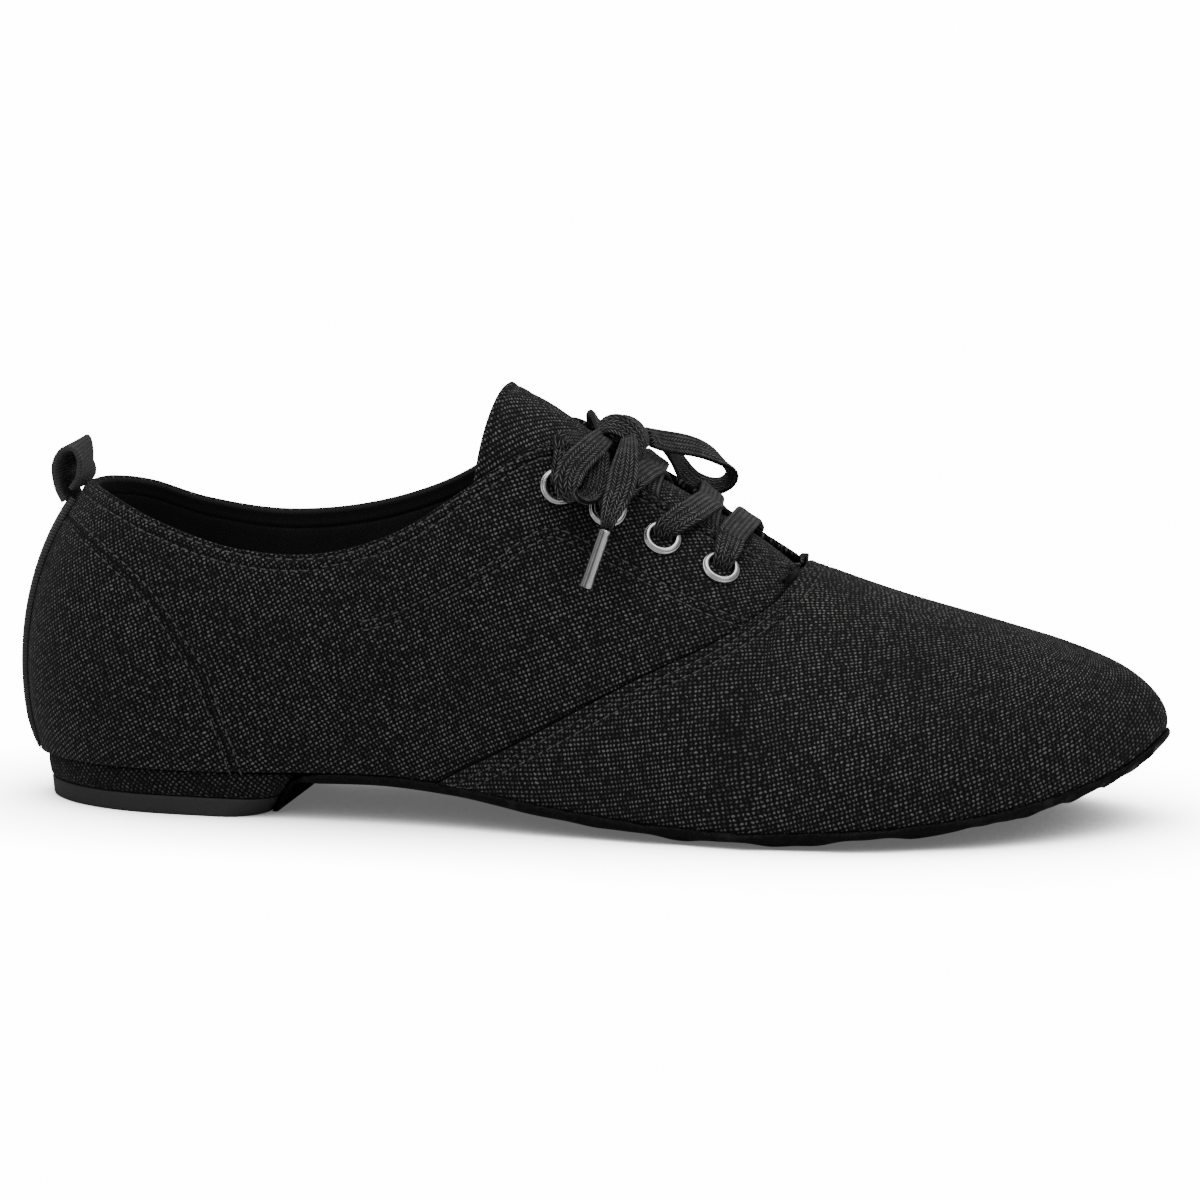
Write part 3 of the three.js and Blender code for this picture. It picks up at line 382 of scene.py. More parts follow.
@dataclass
class Last:
    """The smooth outer face of the upper, in millimetres.

    A place on it is a rib number and a share. The rib number counts from 0 at the heel's back to 19 at the
    toe, and is negative on the outer side. The share goes from 0 at the sole to 1 at the top line.
    """

    length: float = 255.6
    ball_width: float = 90.0
    instep_rise: float = 77.0
    toe_spring: float = 17.1
    heel_seat: float = 10.4
    ball_seat: float = 3.7
    back_x: float = -31.35
    crest_slope: float = 0.2
    throat_calm: float = 1.6

    def rib(self, side: int, row: int) -> np.ndarray:
        """Work out one rib of the tables: its four pulls from the sole to the top line."""
        along, outer, inner, heel, spring = FEATHER[row]
        top_along, top_outer, top_inner, outer_rise, inner_rise = TOP_LINE[row]
        facing, flare, rise, spread, drop = RIBS[row]
        angle = math.radians(facing)
        out = np.array([-math.sin(angle), side * math.cos(angle), 0.0])
        width = outer if side < 0 else inner
        top_width = top_outer if side < 0 else top_inner
        climb = self.instep_rise * (outer_rise if side < 0 else inner_rise)
        height = self.ball_seat + heel * (self.heel_seat - self.ball_seat) + spring * self.toe_spring
        low = np.array([self.back_x + along * self.length, side * self.ball_width * width, height])
        high_x = self.back_x + top_along * self.length
        high = np.array([high_x, side * self.ball_width * top_width, height + climb])
        low_pull = low + out * flare * self.ball_width + np.array([0.0, 0.0, rise * climb])
        high_pull = high + out * spread * self.ball_width - np.array([0.0, 0.0, drop * climb])
        if row > THROAT:
            high_pull[2] -= self.crest_slope * max(out[0], 0.0) * spread * self.ball_width
        return np.stack([low, low_pull, high_pull, high])

    @cached_property
    def ring(self) -> np.ndarray:
        """The ribs all round: the inner side's from heel to toe, then the outer side's back again."""
        inner = [self.rib(1, row) for row in range(LAST_ROW + 1)]
        outer = [self.rib(-1, row) for row in range(LAST_ROW - 1, 0, -1)]
        return np.stack(inner + outer)

    def pulls(self, rib: np.ndarray) -> np.ndarray:
        """Blend the ribs' pulls at places between them. The top line breaks at the throat."""
        rib = np.asarray(rib, float)
        index = np.floor(rib).astype(int)
        f = (rib - index)[..., None, None]
        before, start, end, after = (self.ring[(index + step) % ROUND] for step in (-1, 0, 1, 2))
        into = np.isin(index % ROUND, (THROAT - 1, ROUND - THROAT - 1))
        out_of = np.isin(index % ROUND, (THROAT, ROUND - THROAT))
        after[into, 3] = 2 * end[into, 3] - start[into, 3]
        before[out_of, 3] = 2 * start[out_of, 3] - end[out_of, 3]
        return between((before, start, end, after), f)

    @staticmethod
    def along_rib(pulls: np.ndarray, share: np.ndarray) -> np.ndarray:
        """Points of ribs at shares of the way from the sole to the top line."""
        t = np.asarray(share, float)
        weights = np.stack([(1 - t) ** 3, 3 * (1 - t) ** 2 * t, 3 * (1 - t) * t**2, t**3], axis=-1)
        return np.einsum("...i,...ij->...j", weights, pulls)

    def point(self, rib: np.ndarray, share: np.ndarray) -> np.ndarray:
        """Give points of the outer face."""
        rib, share = np.broadcast_arrays(np.asarray(rib, float), np.asarray(share, float))
        return self.along_rib(self.pulls(rib), share)

    def side_normal(self, rib: np.ndarray, share: np.ndarray) -> np.ndarray:
        """Give the way the face looks, from its own side alone."""
        step = 0.02
        pulls = self.pulls(rib)
        near = np.where(share < 0.5, share, share - step)
        climb = self.along_rib(pulls, near + step) - self.along_rib(pulls, near)
        ahead, behind = self.pulls(rib + step), self.pulls(rib - step)
        calm = np.clip(self.throat_calm - np.abs(np.abs(rib) - THROAT + 0.5), 0, 1)[..., None]
        steps = ahead - behind
        ahead[..., 3, :] = behind[..., 3, :] + steps[..., 3, :] * (1 - calm) + steps[..., 2, :] * calm
        forward = self.along_rib(ahead, share) - self.along_rib(behind, share)
        out = -np.cross(forward, climb)
        return out / np.linalg.norm(out, axis=-1, keepdims=True)

    def normal(self, rib: np.ndarray, share: np.ndarray) -> np.ndarray:
        """Give the way the face looks, the same from both sides on the crest."""
        both = np.broadcast_arrays(np.asarray(rib, float), np.asarray(share, float))
        rib, share = (values.copy() for values in both)
        out = self.side_normal(rib, share)
        crest = (share >= 1) & (np.abs(rib) >= THROAT)
        if crest.any():
            both = out[crest] + self.side_normal(-rib[crest], share[crest])
            out[crest] = both / np.linalg.norm(both, axis=-1, keepdims=True)
        return out

    def surface(self, rib: np.ndarray, share: np.ndarray, height: np.ndarray) -> np.ndarray:
        """Give points at heights over the outer face."""
        return self.point(rib, share) + self.normal(rib, share) * np.asarray(height)[..., None]


@dataclass
class Row:
    """A row of stitching: a named layer of distances over a panel, and how far out the row is sewn."""

    layer: str
    away: float


@dataclass
class Crease:
    """A soft trough or ridge in the cloth, by places on the last.

    Fields: places are rib numbers and shares; height is over the cloth, negative for a trough; width is the
    half width at which the bump has mostly gone; all but the places in millimetres.
    """

    places: tuple
    height: float
    width: float

    def raised(self, last: Last, points: np.ndarray) -> np.ndarray:
        """Give the crease's height over each point, fading to nothing at its ends."""
        stops = curve_through(np.array(self.places, float), 6 * len(self.places))
        line = last.point(stops[:, 0], stops[:, 1])
        flat = points.reshape(-1, 3)
        far = np.full(len(flat), 1e3)
        at = np.zeros(len(flat))
        for number, (start, end) in enumerate(zip(line[:-1], line[1:])):
            step = end - start
            share = np.clip((flat - start) @ step / (step @ step), 0, 1)
            off = np.linalg.norm(flat - start - share[:, None] * step, axis=-1)
            nearer = off < far
            far[nearer] = off[nearer]
            at[nearer] = (number + share[nearer]) / (len(line) - 1)
        fade = np.sin(np.pi * np.clip(at, 0, 1)) ** 0.6
        return (self.height * fade * bell(far, self.width)).reshape(points.shape[:-1])


# Creases of the quarters and the vamp, seen on the outer side: places, height and width.
QUARTER_CREASES = (
    Crease(((-4.6, 0.10), (-5.2, 0.22), (-5.9, 0.30), (-6.8, 0.34)), -0.35, 5.0),
    Crease(((-2.0, 0.62), (-2.4, 0.45), (-2.9, 0.30)), -0.3, 5.0),
    Crease(((-5.0, 0.86), (-5.8, 0.70), (-6.6, 0.52), (-7.6, 0.38)), -0.45, 6.0),
    Crease(((-4.4, 0.62), (-5.4, 0.52), (-6.4, 0.44)), 0.3, 5.0),
    Crease(((4.6, 0.70), (5.6, 0.52), (6.8, 0.38)), -0.45, 6.0),
    Crease(((1.4, 0.66), (2.4, 0.48), (3.2, 0.30)), -0.3, 5.0),
)
VAMP_CREASES = (
    Crease(((-14.6, 0.30), (-14.9, 0.50), (-15.1, 0.72)), -0.45, 4.0),
    Crease(((-13.4, 0.22), (-13.8, 0.40), (-14.2, 0.60)), -0.35, 4.0),
    Crease(((-15.8, 0.22), (-15.9, 0.45), (-15.9, 0.70)), -0.3, 4.5),
    Crease(((-12.6, 0.16), (-12.9, 0.34)), -0.3, 3.5),
    Crease(((14.6, 0.30), (14.9, 0.52), (15.1, 0.74)), -0.45, 4.0),
    Crease(((15.8, 0.24), (15.9, 0.50)), -0.3, 4.5),
)

# The vamp's edge seen from the side: share of the last's length and of the instep's rise over the ball.
VAMP_EDGE = (
    (0.320, -0.080),
    (0.391, 0.086),
    (0.457, 0.204),
    (0.517, 0.317),
    (0.574, 0.418),
    (0.628, 0.503),
    (0.666, 0.581),
    (0.681, 0.626),
    (0.689, 0.668),
    (0.690, 0.695),
    (0.692, 0.900),
)

# Seams of the quarter, as rib numbers and shares on one side.
COUNTER_SEAM = (
    (0.55, 0.846),
    (1.23, 0.838),
    (1.58, 0.821),
    (2.23, 0.787),
    (2.83, 0.729),
    (3.25, 0.650),
    (3.58, 0.542),
    (3.88, 0.421),
    (4.10, 0.250),
    (4.23, 0.121),
    (4.32, -0.01),
)
FACING_SEAM = (
    (5.70, 0.640),
    (6.13, 0.640),
    (6.63, 0.650),
    (7.16, 0.656),
    (7.71, 0.671),
    (8.30, 0.700),
    (8.80, 0.719),
    (9.25, 0.720),
    (9.78, 0.713),
    (10.71, 0.694),
    (11.21, 0.679),
    (11.78, 0.673),
    (12.75, 0.668),
)


@dataclass
class Upper:
    """The canvas upper: quarters, vamp and lining over the last.

    Rows are the distances of stitch rows from their seam or edge. Each dent is how deep its stitches pull the
    cloth in. The cloth is the canvas without its lining; the tuck is where the quarter dips under the vamp.
    """

    last: Last
    wall: float = 1.8
    step: float = 1.0
    rim: float = 0.95
    band: float = 4.3
    stations: int = 150
    lining_rows: int = 40
    collar_rows: tuple = (1.0, 3.5)
    vamp_rows: tuple = (2.0, 4.2)
    counter_rows: tuple = (-1.3, 1.3)
    facing_rows: tuple = (-1.0, 1.0)
    collar_dent: float = 0.2
    counter_dent: float = 0.22
    facing_dent: float = 0.1
    vamp_dent: float = 0.16
    cloth: float = 1.25
    tuck: float = 0.5
    tuck_reach: float = 1.2
    throat_fade: float = 1.6
    crease_fade: float = 8.0
    vamp_rim: float = 0.55
    vamp_gap: float = 0.08

    @cached_property
    def edge_line(self) -> np.ndarray:
        """The vamp's edge seen from the side, as points of X and Z."""
        rows = curve_through(np.array(VAMP_EDGE), 90)
        along = self.last.back_x + rows[:, 0] * self.last.length
        up = self.last.ball_seat + rows[:, 1] * self.last.instep_rise
        return np.stack([along, up], axis=-1)

    @cached_property
    def edge_places(self) -> dict:
        """The rib number of the vamp's edge for evenly spread shares, on each side."""
        shares = np.linspace(0, 1, 81)
        ribs = np.linspace(4.0, 16.0, 481)
        found = {}
        for side in Side:
            points = self.last.point(side.value * ribs[None, :], shares[:, None])
            ahead = points[..., 0] - np.interp(points[..., 2], self.edge_line[:, 1], self.edge_line[:, 0])
            first = np.argmax(ahead > 0, axis=1)
            rows = np.arange(len(shares))
            low, high = ahead[rows, first - 1], ahead[rows, first]
            found[side] = ribs[first - 1] + (ribs[1] - ribs[0]) * (-low) / (high - low)
        return found

    def edge_rib(self, side: Side, share: np.ndarray) -> np.ndarray:
        """Give the rib number of the vamp's edge at shares of a side's height."""
        return np.interp(share, np.linspace(0, 1, 81), self.edge_places[side])

    def seam(self, side: Side, places: tuple, count: int = 160) -> Line:
        """Draw a seam of the quarter on one side."""
        stops = curve_through(np.array(places), count)
        ribs = side.value * stops[:, 0]
        return Line(self.last.point(ribs, stops[:, 1]), self.last.normal(ribs, stops[:, 1]))

    def from_top(self, ribs: np.ndarray, distances: np.ndarray) -> np.ndarray:
        """Turn distances down from the top line into shares.

        Args:
            ribs: Rib numbers.
            distances: Distances for each rib, ribs by rows; past the sole they stop there.

        Returns:
            A share for each.
        """
        shares = np.linspace(1, 0, 161)
        points = self.last.point(ribs[:, None], shares[None, :])
        lengths = np.concatenate(
            [np.zeros((len(ribs), 1)), np.cumsum(np.linalg.norm(np.diff(points, axis=1), axis=-1), axis=1)],
            axis=1,
        )
        return np.stack([np.interp(row, length, shares) for row, length in zip(distances, lengths)])

    def quarters(self) -> bpy.types.Object:
        """Make both quarters and the heel's counter as one canvas shell with a turned collar."""
        last = self.last
        side_of = np.linspace(-1, 1, 2 * self.stations + 1)
        fine = np.array([0.0, 0.1, 0.35, 0.7, self.rim, 1.3, 1.9, 2.6, 3.1, 3.5, 3.9, self.band, 5.0])
        rest = 52
        start = fine[-1]
        ribs_at_top = side_of * THROAT
        whole = self.rib_lengths(ribs_at_top)
        distances = np.concatenate(
            [
                np.repeat(fine[None, :], len(side_of), axis=0),
                start + (whole[:, None] - start) * (np.arange(1, rest + 1) / rest)[None, :],
            ],
            axis=1,
        )
        shares = self.from_top(ribs_at_top, distances)
        outer, inner = (self.edge_rib(side, shares) for side in Side)
        reach = np.where(side_of[:, None] < 0, outer, inner)
        reach = np.minimum(reach + 1.0 - shares, THROAT)
        ribs = side_of[:, None] * reach
        near_rim = rolled(distances, self.rim)
        bare = last.point(ribs, shares)
        creases = sum(crease.raised(last, bare) for crease in QUARTER_CREASES)
        creases = creases * np.clip((distances - self.rim) / self.crease_fade, 0, 1)
        pillow = sum(bell(distances - row, 0.5) for row in self.collar_rows)
        counter, facing = self.seam_layers(bare, ribs)
        seams = self.counter_dent * bell(counter, 0.55)
        seams = seams + sum(self.facing_dent * bell(facing - row, 0.7) for row in self.facing_rows)
        thin = np.clip((THROAT + 0.1 - np.abs(ribs)) / self.throat_fade, 0.1, 1)
        vamp = np.abs(self.vamp_edge_line().distance(bare, 12.0))
        tuck = self.tuck * np.clip(1 - vamp / self.tuck_reach, 0, 1) * np.clip(distances / 6, 0, 1)
        outside = creases - near_rim * thin - self.collar_dent * pillow - seams - tuck
        band = np.clip((self.band + 0.4 - distances) / 0.5, 0, 1)
        turned = (self.wall + 0.2 - self.cloth + self.collar_dent / 2 * pillow) * band
        inside = near_rim - self.cloth - turned
        upper = last.surface(ribs, shares, outside)
        lower = last.surface(ribs, shares, inside * thin)
        uv = np.stack([self.arc_across(ribs), self.climb(ribs, shares)], axis=-1)
        layers = {"collar": np.minimum(distances, 60), "counter": counter, "facing": facing, "vamp": vamp}
        return slab("canvas_quarters", upper, lower, uv, layers)

    def rib_lengths(self, ribs: np.ndarray) -> np.ndarray:
        """Measure ribs from the sole to the top line."""
        points = self.last.point(ribs[:, None], np.linspace(0, 1, 81)[None, :])
        return np.linalg.norm(np.diff(points, axis=1), axis=-1).sum(axis=1)

    def climb(self, ribs: np.ndarray, shares: np.ndarray) -> np.ndarray:
        """Measure the way up each rib from the sole to a share of it."""
        steps = np.linspace(0, 1, 81)
        stops = np.linspace(-LAST_ROW, LAST_ROW, 761)
        points = self.last.point(stops[:, None], steps[None, :])
        ways = np.linalg.norm(np.diff(points, axis=1), axis=-1).cumsum(axis=1)
        ways = np.concatenate([np.zeros((len(stops), 1)), ways], axis=1)
        row = np.clip((ribs + LAST_ROW) * 20, 0, 759.999)
        column = np.clip(shares * 80, 0, 79.999)
        i, j = row.astype(int), column.astype(int)
        a, b = row - i, column - j
        low = ways[i, j] * (1 - b) + ways[i, j + 1] * b
        high = ways[i + 1, j] * (1 - b) + ways[i + 1, j + 1] * b
        return low * (1 - a) + high * a

    def arc_across(self, ribs: np.ndarray) -> np.ndarray:
        """Turn rib numbers into a distance along the cloth at half height."""
        stops = np.linspace(-LAST_ROW, LAST_ROW, 761)
        lengths = length_along(self.last.point(stops, np.full(stops.shape, 0.45)))
        return np.interp(ribs, stops, lengths)

    def seam_layers(self, points: np.ndarray, ribs: np.ndarray) -> tuple:
        """Measure each point's distance from the counter seam and from the facing's seam of its side."""
        layers = []
        for places in (COUNTER_SEAM, FACING_SEAM):
            both = [self.seam(side, places).distance(points) * side.value for side in Side]
            layers.append(np.where(ribs < 0, both[0], both[1]))
        return tuple(layers)

    def vamp(self) -> bpy.types.Object:
        """Make the vamp: the canvas from its raised edge to the toe, both sides in one."""
        last = self.last
        half = 64
        shares = np.concatenate([np.linspace(0, 1, half + 1), np.linspace(1, 0, half + 1)])
        sides = np.concatenate([np.full(half + 1, -1.0), np.full(half + 1, 1.0)])
        outer, inner = (self.edge_rib(side, shares) for side in Side)
        starts = np.where(sides < 0, outer, inner)
        fine = np.array([0.0, 0.12, 0.3, 0.6, 1.0, 1.5, 2.0, 2.5, 3.1, 3.7, 4.2, 4.7, 5.4])
        count = 110
        ribs = np.zeros((len(shares), len(fine) + count))
        run = np.zeros_like(ribs)
        for row, (side, share, start) in enumerate(zip(sides, shares, starts)):
            stops = np.linspace(start, LAST_ROW, 241)
            lengths = length_along(last.point(side * stops, np.full(stops.shape, share)))
            slant = self.edge_slant(side, share, start)
            first = fine / slant
            rest = first[-1] + (lengths[-1] - first[-1]) * np.arange(1, count + 1) / count
            run[row] = np.concatenate([first, rest])
            ribs[row] = side * np.interp(run[row], lengths, stops)
        both = np.repeat(shares[:, None], ribs.shape[1], axis=1)
        bare = last.point(ribs, both)
        away = np.abs(self.vamp_edge_line().distance(bare, 40.0))
        height = self.step - rolled(away, self.vamp_rim)
        height[:, 0] = self.step - self.vamp_rim
        creases = sum(crease.raised(last, bare) for crease in VAMP_CREASES)
        rows = sum(bell(away - row, 0.6) for row in self.vamp_rows)
        height = height + creases * np.clip(away / self.crease_fade, 0, 1) - self.vamp_dent * rows
        upper = last.surface(ribs, both, height)
        lower = last.surface(ribs, both, np.full(ribs.shape, self.vamp_gap))
        uv = np.stack([self.arc_across(ribs), self.climb(ribs, both)], axis=-1)
        return slab("canvas_vamp", upper, lower, uv, {"edge": np.minimum(away, 60)})

    def edge_slant(self, side: float, share: float, start: float) -> float:
        """Give the sine of the angle between the vamp's edge and the way along the shoe."""
        which = Side.OUTER if side < 0 else Side.INNER
        shares = np.clip(np.array([share - 0.03, share + 0.03]), 0, 1)
        ends = self.last.point(side * self.edge_rib(which, shares), shares)
        along = self.last.point(side * np.array([start, start + 0.1]), np.full(2, share))
        run, ahead = ends[1] - ends[0], along[1] - along[0]
        sine = np.linalg.norm(np.cross(run, ahead)) / (np.linalg.norm(run) * np.linalg.norm(ahead))
        return max(float(sine), 0.35)

    def vamp_edge_line(self) -> Line:
        """Draw the vamp's edge from the sole on the outer side over the throat to the inner side."""
        shares = np.linspace(0, 1, 90)
        outer = -self.edge_rib(Side.OUTER, shares)
        inner = self.edge_rib(Side.INNER, shares[::-1])
        ribs = np.concatenate([outer, inner[1:]])
        both = np.concatenate([shares, shares[::-1][1:]])
        return Line(self.last.point(ribs, both), self.last.normal(ribs, both))

    def lining(self) -> bpy.types.Object:
        """Make the dark lining inside the upper, from the collar's band down and to the toe."""
        last = self.last
        ribs = np.linspace(-LAST_ROW, LAST_ROW, 191)
        whole = self.rib_lengths(ribs)
        gap = np.where(np.abs(ribs) < THROAT, self.band + 0.35, 0.0)
        fine = np.array([0.0, 0.25, 0.7])
        first = gap + fine[-1]
        shares_down = np.arange(1, self.lining_rows + 1) / self.lining_rows
        distances = np.concatenate(
            [
                gap[:, None] + fine[None, :],
                first[:, None] + (whole - gap - fine[-1])[:, None] * shares_down[None, :],
            ],
            axis=1,
        )
        shares = self.from_top(ribs, distances)
        wide = np.repeat(ribs[:, None], shares.shape[1], axis=1)
        depth = np.full(shares.shape, -self.wall - 0.15)
        depth[:, 0] = -self.wall + 0.3
        depth[:, 1] = -self.wall - 0.05
        ruck = 0.25 * np.sin(0.21 * self.arc_across(wide) + 2 * shares) * np.sin(3.1 * shares)
        lower = last.surface(wide, shares, depth - np.abs(ruck))
        upper = last.surface(wide, shares, np.full(shares.shape, -self.wall + 0.5))
        uv = np.stack([self.arc_across(wide), whole[:, None] - distances], axis=-1)
        return slab("lining", upper, lower, uv)


# How much of the sole's dish and of its edge margin each rib of the last takes.
DISH = (0.0, 0.0, 0.0, 0.0, 0.0, 0.1, 0.3, 0.5, 0.7, 0.8, 0.9, 1.0, 1.0, 1.0, 1.0, 1.0, 0.8, 0.5, 0.2, 0.0)
MARGIN = (0.0,) * 7 + (0.4, 0.8) + (1.0,) * 11


@dataclass
class SoleUnit:
    """Everything under the upper: leather sole with its flap, heel block, rubber top piece and insole."""

    last: Last
    thickness: float = 2.2
    margin: float = 1.7
    dish: float = 2.1
    gap: float = 0.3
    flap: float = 1.3
    breast: float = 60.0
    lean: float = 7.0
    corner_low: float = 10.5
    corner_high: float = 4.0
    inset: float = 1.7
    taper: float = 1.0
    lift: float = 4.2
    insole: float = 1.6
    wall: float = 1.8
    pleat: float = 0.8

    def feather(self, ribs: np.ndarray, margin: np.ndarray | float) -> np.ndarray:
        """Give points of the feather line, moved outward in plan by a margin."""
        step = 0.02
        run = self.last.pulls(ribs + step)[..., 0, :] - self.last.pulls(ribs - step)[..., 0, :]
        out = unit(np.stack([-run[..., 1], run[..., 0], np.zeros(run.shape[:-1])], axis=-1))
        out[np.abs(ribs) > LAST_ROW - 1e-6] = (1.0, 0.0, 0.0)
        out[np.abs(ribs) < 1e-6] = (-1.0, 0.0, 0.0)
        return self.last.pulls(ribs)[..., 0, :] + out * np.asarray(margin)[..., None]

    def bed(self, ribs: np.ndarray, share: float, margin: np.ndarray | float) -> np.ndarray:
        """Give points of the foot bed, a share of the way from the outer to the inner edge."""
        points = self.feather(-ribs, margin) * (1 - share) + self.feather(ribs, margin) * share
        middle = 1 - (2 * share - 1) ** 2
        points[..., 2] -= self.dish * np.interp(ribs, np.arange(LAST_ROW + 1), DISH) * middle
        return points

    def breast_x(self, z: np.ndarray | float) -> np.ndarray | float:
        """Give the heel breast's distance along the shoe at a height."""
        return self.last.back_x + self.breast + self.lean * z / self.last.heel_seat

    def half_breadth(self, side: Side, x: np.ndarray, z: float, inset: float) -> np.ndarray:
        """Give half the heel's breadth at distances along the shoe, with rounded corners at the breast."""
        last = self.last
        stops = np.linspace(0, 12, 481)
        edge = last.pulls(side.value * stops)[..., 0, :]
        corner = self.corner_low + (self.corner_high - self.corner_low) * z / last.heel_seat
        front = self.breast_x(z)
        back = last.back_x + inset
        spread = last.length / (last.length - inset)
        full = np.interp(last.back_x + (x - back) * spread, edge[:, 0], np.abs(edge[:, 1])) - inset / 2
        widest = np.interp(front - corner, edge[:, 0], np.abs(edge[:, 1])) - inset / 2
        past = np.clip(x - (front - corner), 0, corner)
        return np.minimum(full, widest) - (corner - np.sqrt(corner**2 - past**2))

    def heel_ring(self, z: float, inset: float, setback: float) -> np.ndarray:
        """Draw the heel's outline at a height as a closed ring that starts at the back."""
        steps = 56
        back = self.last.back_x + inset
        run = self.breast_x(z) - setback - back
        turn = np.linspace(0, math.pi, steps + 1)
        x = back + run * (1 - np.cos(turn)) / 2
        shift = setback * np.arange(steps + 1) / steps
        sides = []
        for side in Side:
            breadth = self.half_breadth(side, x + shift, z, inset)
            breadth[0] = 0
            sides.append(np.stack([x, side.value * breadth, np.full(x.shape, z)], axis=-1))
        return np.concatenate([sides[0], sides[1][::-1]])

    def heel_layer(
        self, name: str, low: float, high: float, bevel: float, bulge: float
    ) -> bpy.types.Object:
        """Make one layer of the heel between two heights.

        Args:
            name: The piece's name.
            low: The lower height.
            high: The upper height.
            bevel: How much the layer's edges are rounded.
            bulge: How far its side swells.

        Returns:
            The piece.
        """
        levels = [(low, bevel), (low + 0.3 * bevel, 0.3 * bevel), (low + bevel, 0.0)]
        inner = np.linspace(low + bevel, high - bevel, 7)[1:-1]
        levels += [(z, 0.0) for z in inner]
        levels += [(high - bevel, 0.0), (high - 0.3 * bevel, 0.3 * bevel), (high, bevel)]
        rings, places = [], []
        for z, back in levels:
            swell = bulge * math.sin(math.pi * (z - low) / (high - low))
            inset = self.inset + self.taper * (1 - z / self.last.heel_seat) + back - swell
            ring = self.heel_ring(z, inset, self.flap + self.gap + back)
            rings.append(ring)
            places.append(np.stack([length_along(ring), np.full(len(ring), z)], axis=-1))
        return tube(name, np.array(rings), np.array(places))

    def edge_wave(self, ribs: np.ndarray, arc: np.ndarray) -> np.ndarray:
        """Give the leather edge's ripple: none at the waist, long at the ball and tight at the toe."""
        ahead = np.clip((np.abs(ribs) - 9.5) / 3, 0, 1)
        toe = np.clip((np.abs(ribs) - 15.5) / 2, 0, 1)
        long_wave = np.sin(0.262 * arc + 0.9 * np.sin(0.071 * arc + 1.0)) + 0.35 * np.sin(0.61 * arc + 2.0)
        short_wave = np.sin(0.60 * arc + 0.8 * np.sin(0.13 * arc)) + 0.4 * np.sin(1.13 * arc + 1.0)
        return ahead * ((1 - toe) * long_wave + toe * short_wave)

    def outsole(self) -> bpy.types.Object:
        """Make the leather sole from the flap's foot on the heel breast to the toe."""
        last = self.last
        bend = float(self.breast_x(last.heel_seat)) + self.thickness
        dense = np.linspace(4, LAST_ROW, 1501)
        outer = last.pulls(-dense)[..., 0, :]
        start = float(np.interp(bend, outer[:, 0], dense))
        stops = dense[dense >= start]
        arc = length_along(last.pulls(-stops)[..., 0, :])
        ribs = np.interp(np.linspace(0, arc[-1], 150), arc, stops)
        margin = self.margin * np.interp(ribs, np.arange(LAST_ROW + 1), MARGIN)
        arcs = [length_along(last.pulls(side.value * ribs)[..., 0, :]) for side in Side]
        waves = [self.edge_wave(ribs, arcs[0]), self.edge_wave(ribs, arcs[1] + 7.0)]
        fade = np.minimum(1, (LAST_ROW - ribs) / 0.6)
        waves = [wave * fade for wave in waves]
        across = eased(21)
        loops = []
        sections = ((0.0, -0.25), (0.35, 0.12), (0.7, 0.05))
        for share in across:
            loops.append(self.bed(ribs, share, margin - 0.25) - np.array([0, 0, self.gap * 0.4]))
        for down, out in sections:
            side = self.feather(ribs, margin + out + self.pleat * down * waves[1])
            loops.append(side - np.array([0, 0, self.gap * 0.4 + down * self.thickness]))
        for share in across[::-1]:
            near = bell((1 - share) * 80, 9.0) * waves[1] + bell(share * 80, 9.0) * waves[0]
            sag = np.clip(near, -1, 1)[:, None] * np.array([0, 0, 0.62 * self.pleat])
            line = self.bed(ribs, share, margin - 0.5 + 0.6 * self.pleat * near)
            loops.append(line - np.array([0, 0, self.gap + self.thickness]) + sag)
        for down, out in sections[::-1]:
            side = self.feather(-ribs, margin + out + self.pleat * down * waves[0])
            loops.append(side - np.array([0, 0, self.gap * 0.4 + down * self.thickness]))
        loops.append(loops[0])
        body = np.stack(loops, axis=1)
        flap = self.flap_rings(len(across), len(sections))
        rings = np.concatenate([flap, body])
        bent = rings.copy()
        first = len(flap) - 3
        for _ in range(3):
            bent[first : first + 6] = (
                0.25 * bent[first - 1 : first + 5]
                + 0.5 * bent[first : first + 6]
                + 0.25 * bent[first + 1 : first + 7]
            )
        bent[..., 2] = np.maximum(bent[..., 2], 0.0)
        along = length_along(bent[:, 10])
        around = np.stack([length_along(ring) for ring in bent])
        uv = np.stack([np.repeat(along[:, None], bent.shape[1], axis=1), around], axis=-1)
        return tube("sole_leather", bent, uv)

    def flap_rings(self, across: int, edge: int) -> np.ndarray:
        """Draw the flap that turns down the heel breast, as rings that carry on the sole's own."""
        rings = []
        shares = eased(across)
        for z in np.linspace(self.gap, self.last.heel_seat - 1.6, 9):
            inset = self.inset + self.taper * (1 - z / self.last.heel_seat)
            front = float(self.breast_x(z))
            x = np.array([front - self.gap])
            outer = -float(self.half_breadth(Side.OUTER, x, z, inset)[0]) - 0.15
            inner = float(self.half_breadth(Side.INNER, x, z, inset)[0]) + 0.15
            y = outer + (inner - outer) * shares
            back = np.stack([np.full(across, front - self.flap), y, np.full(across, z)], axis=-1)
            face = np.stack([np.full(across, front), y[::-1], np.full(across, z)], axis=-1)
            depth = np.linspace(-self.flap, 0, edge + 2)[1:-1]
            swell = 0.25 * np.sin(np.linspace(0, math.pi, edge + 2)[1:-1])
            near = np.stack([front + depth, np.full(edge, inner) + swell, np.full(edge, z)], axis=-1)
            far = np.stack([front + depth[::-1], np.full(edge, outer) - swell, np.full(edge, z)], axis=-1)
            rings.append(np.concatenate([back, near, face, far, back[:1]]))
        return np.array(rings)

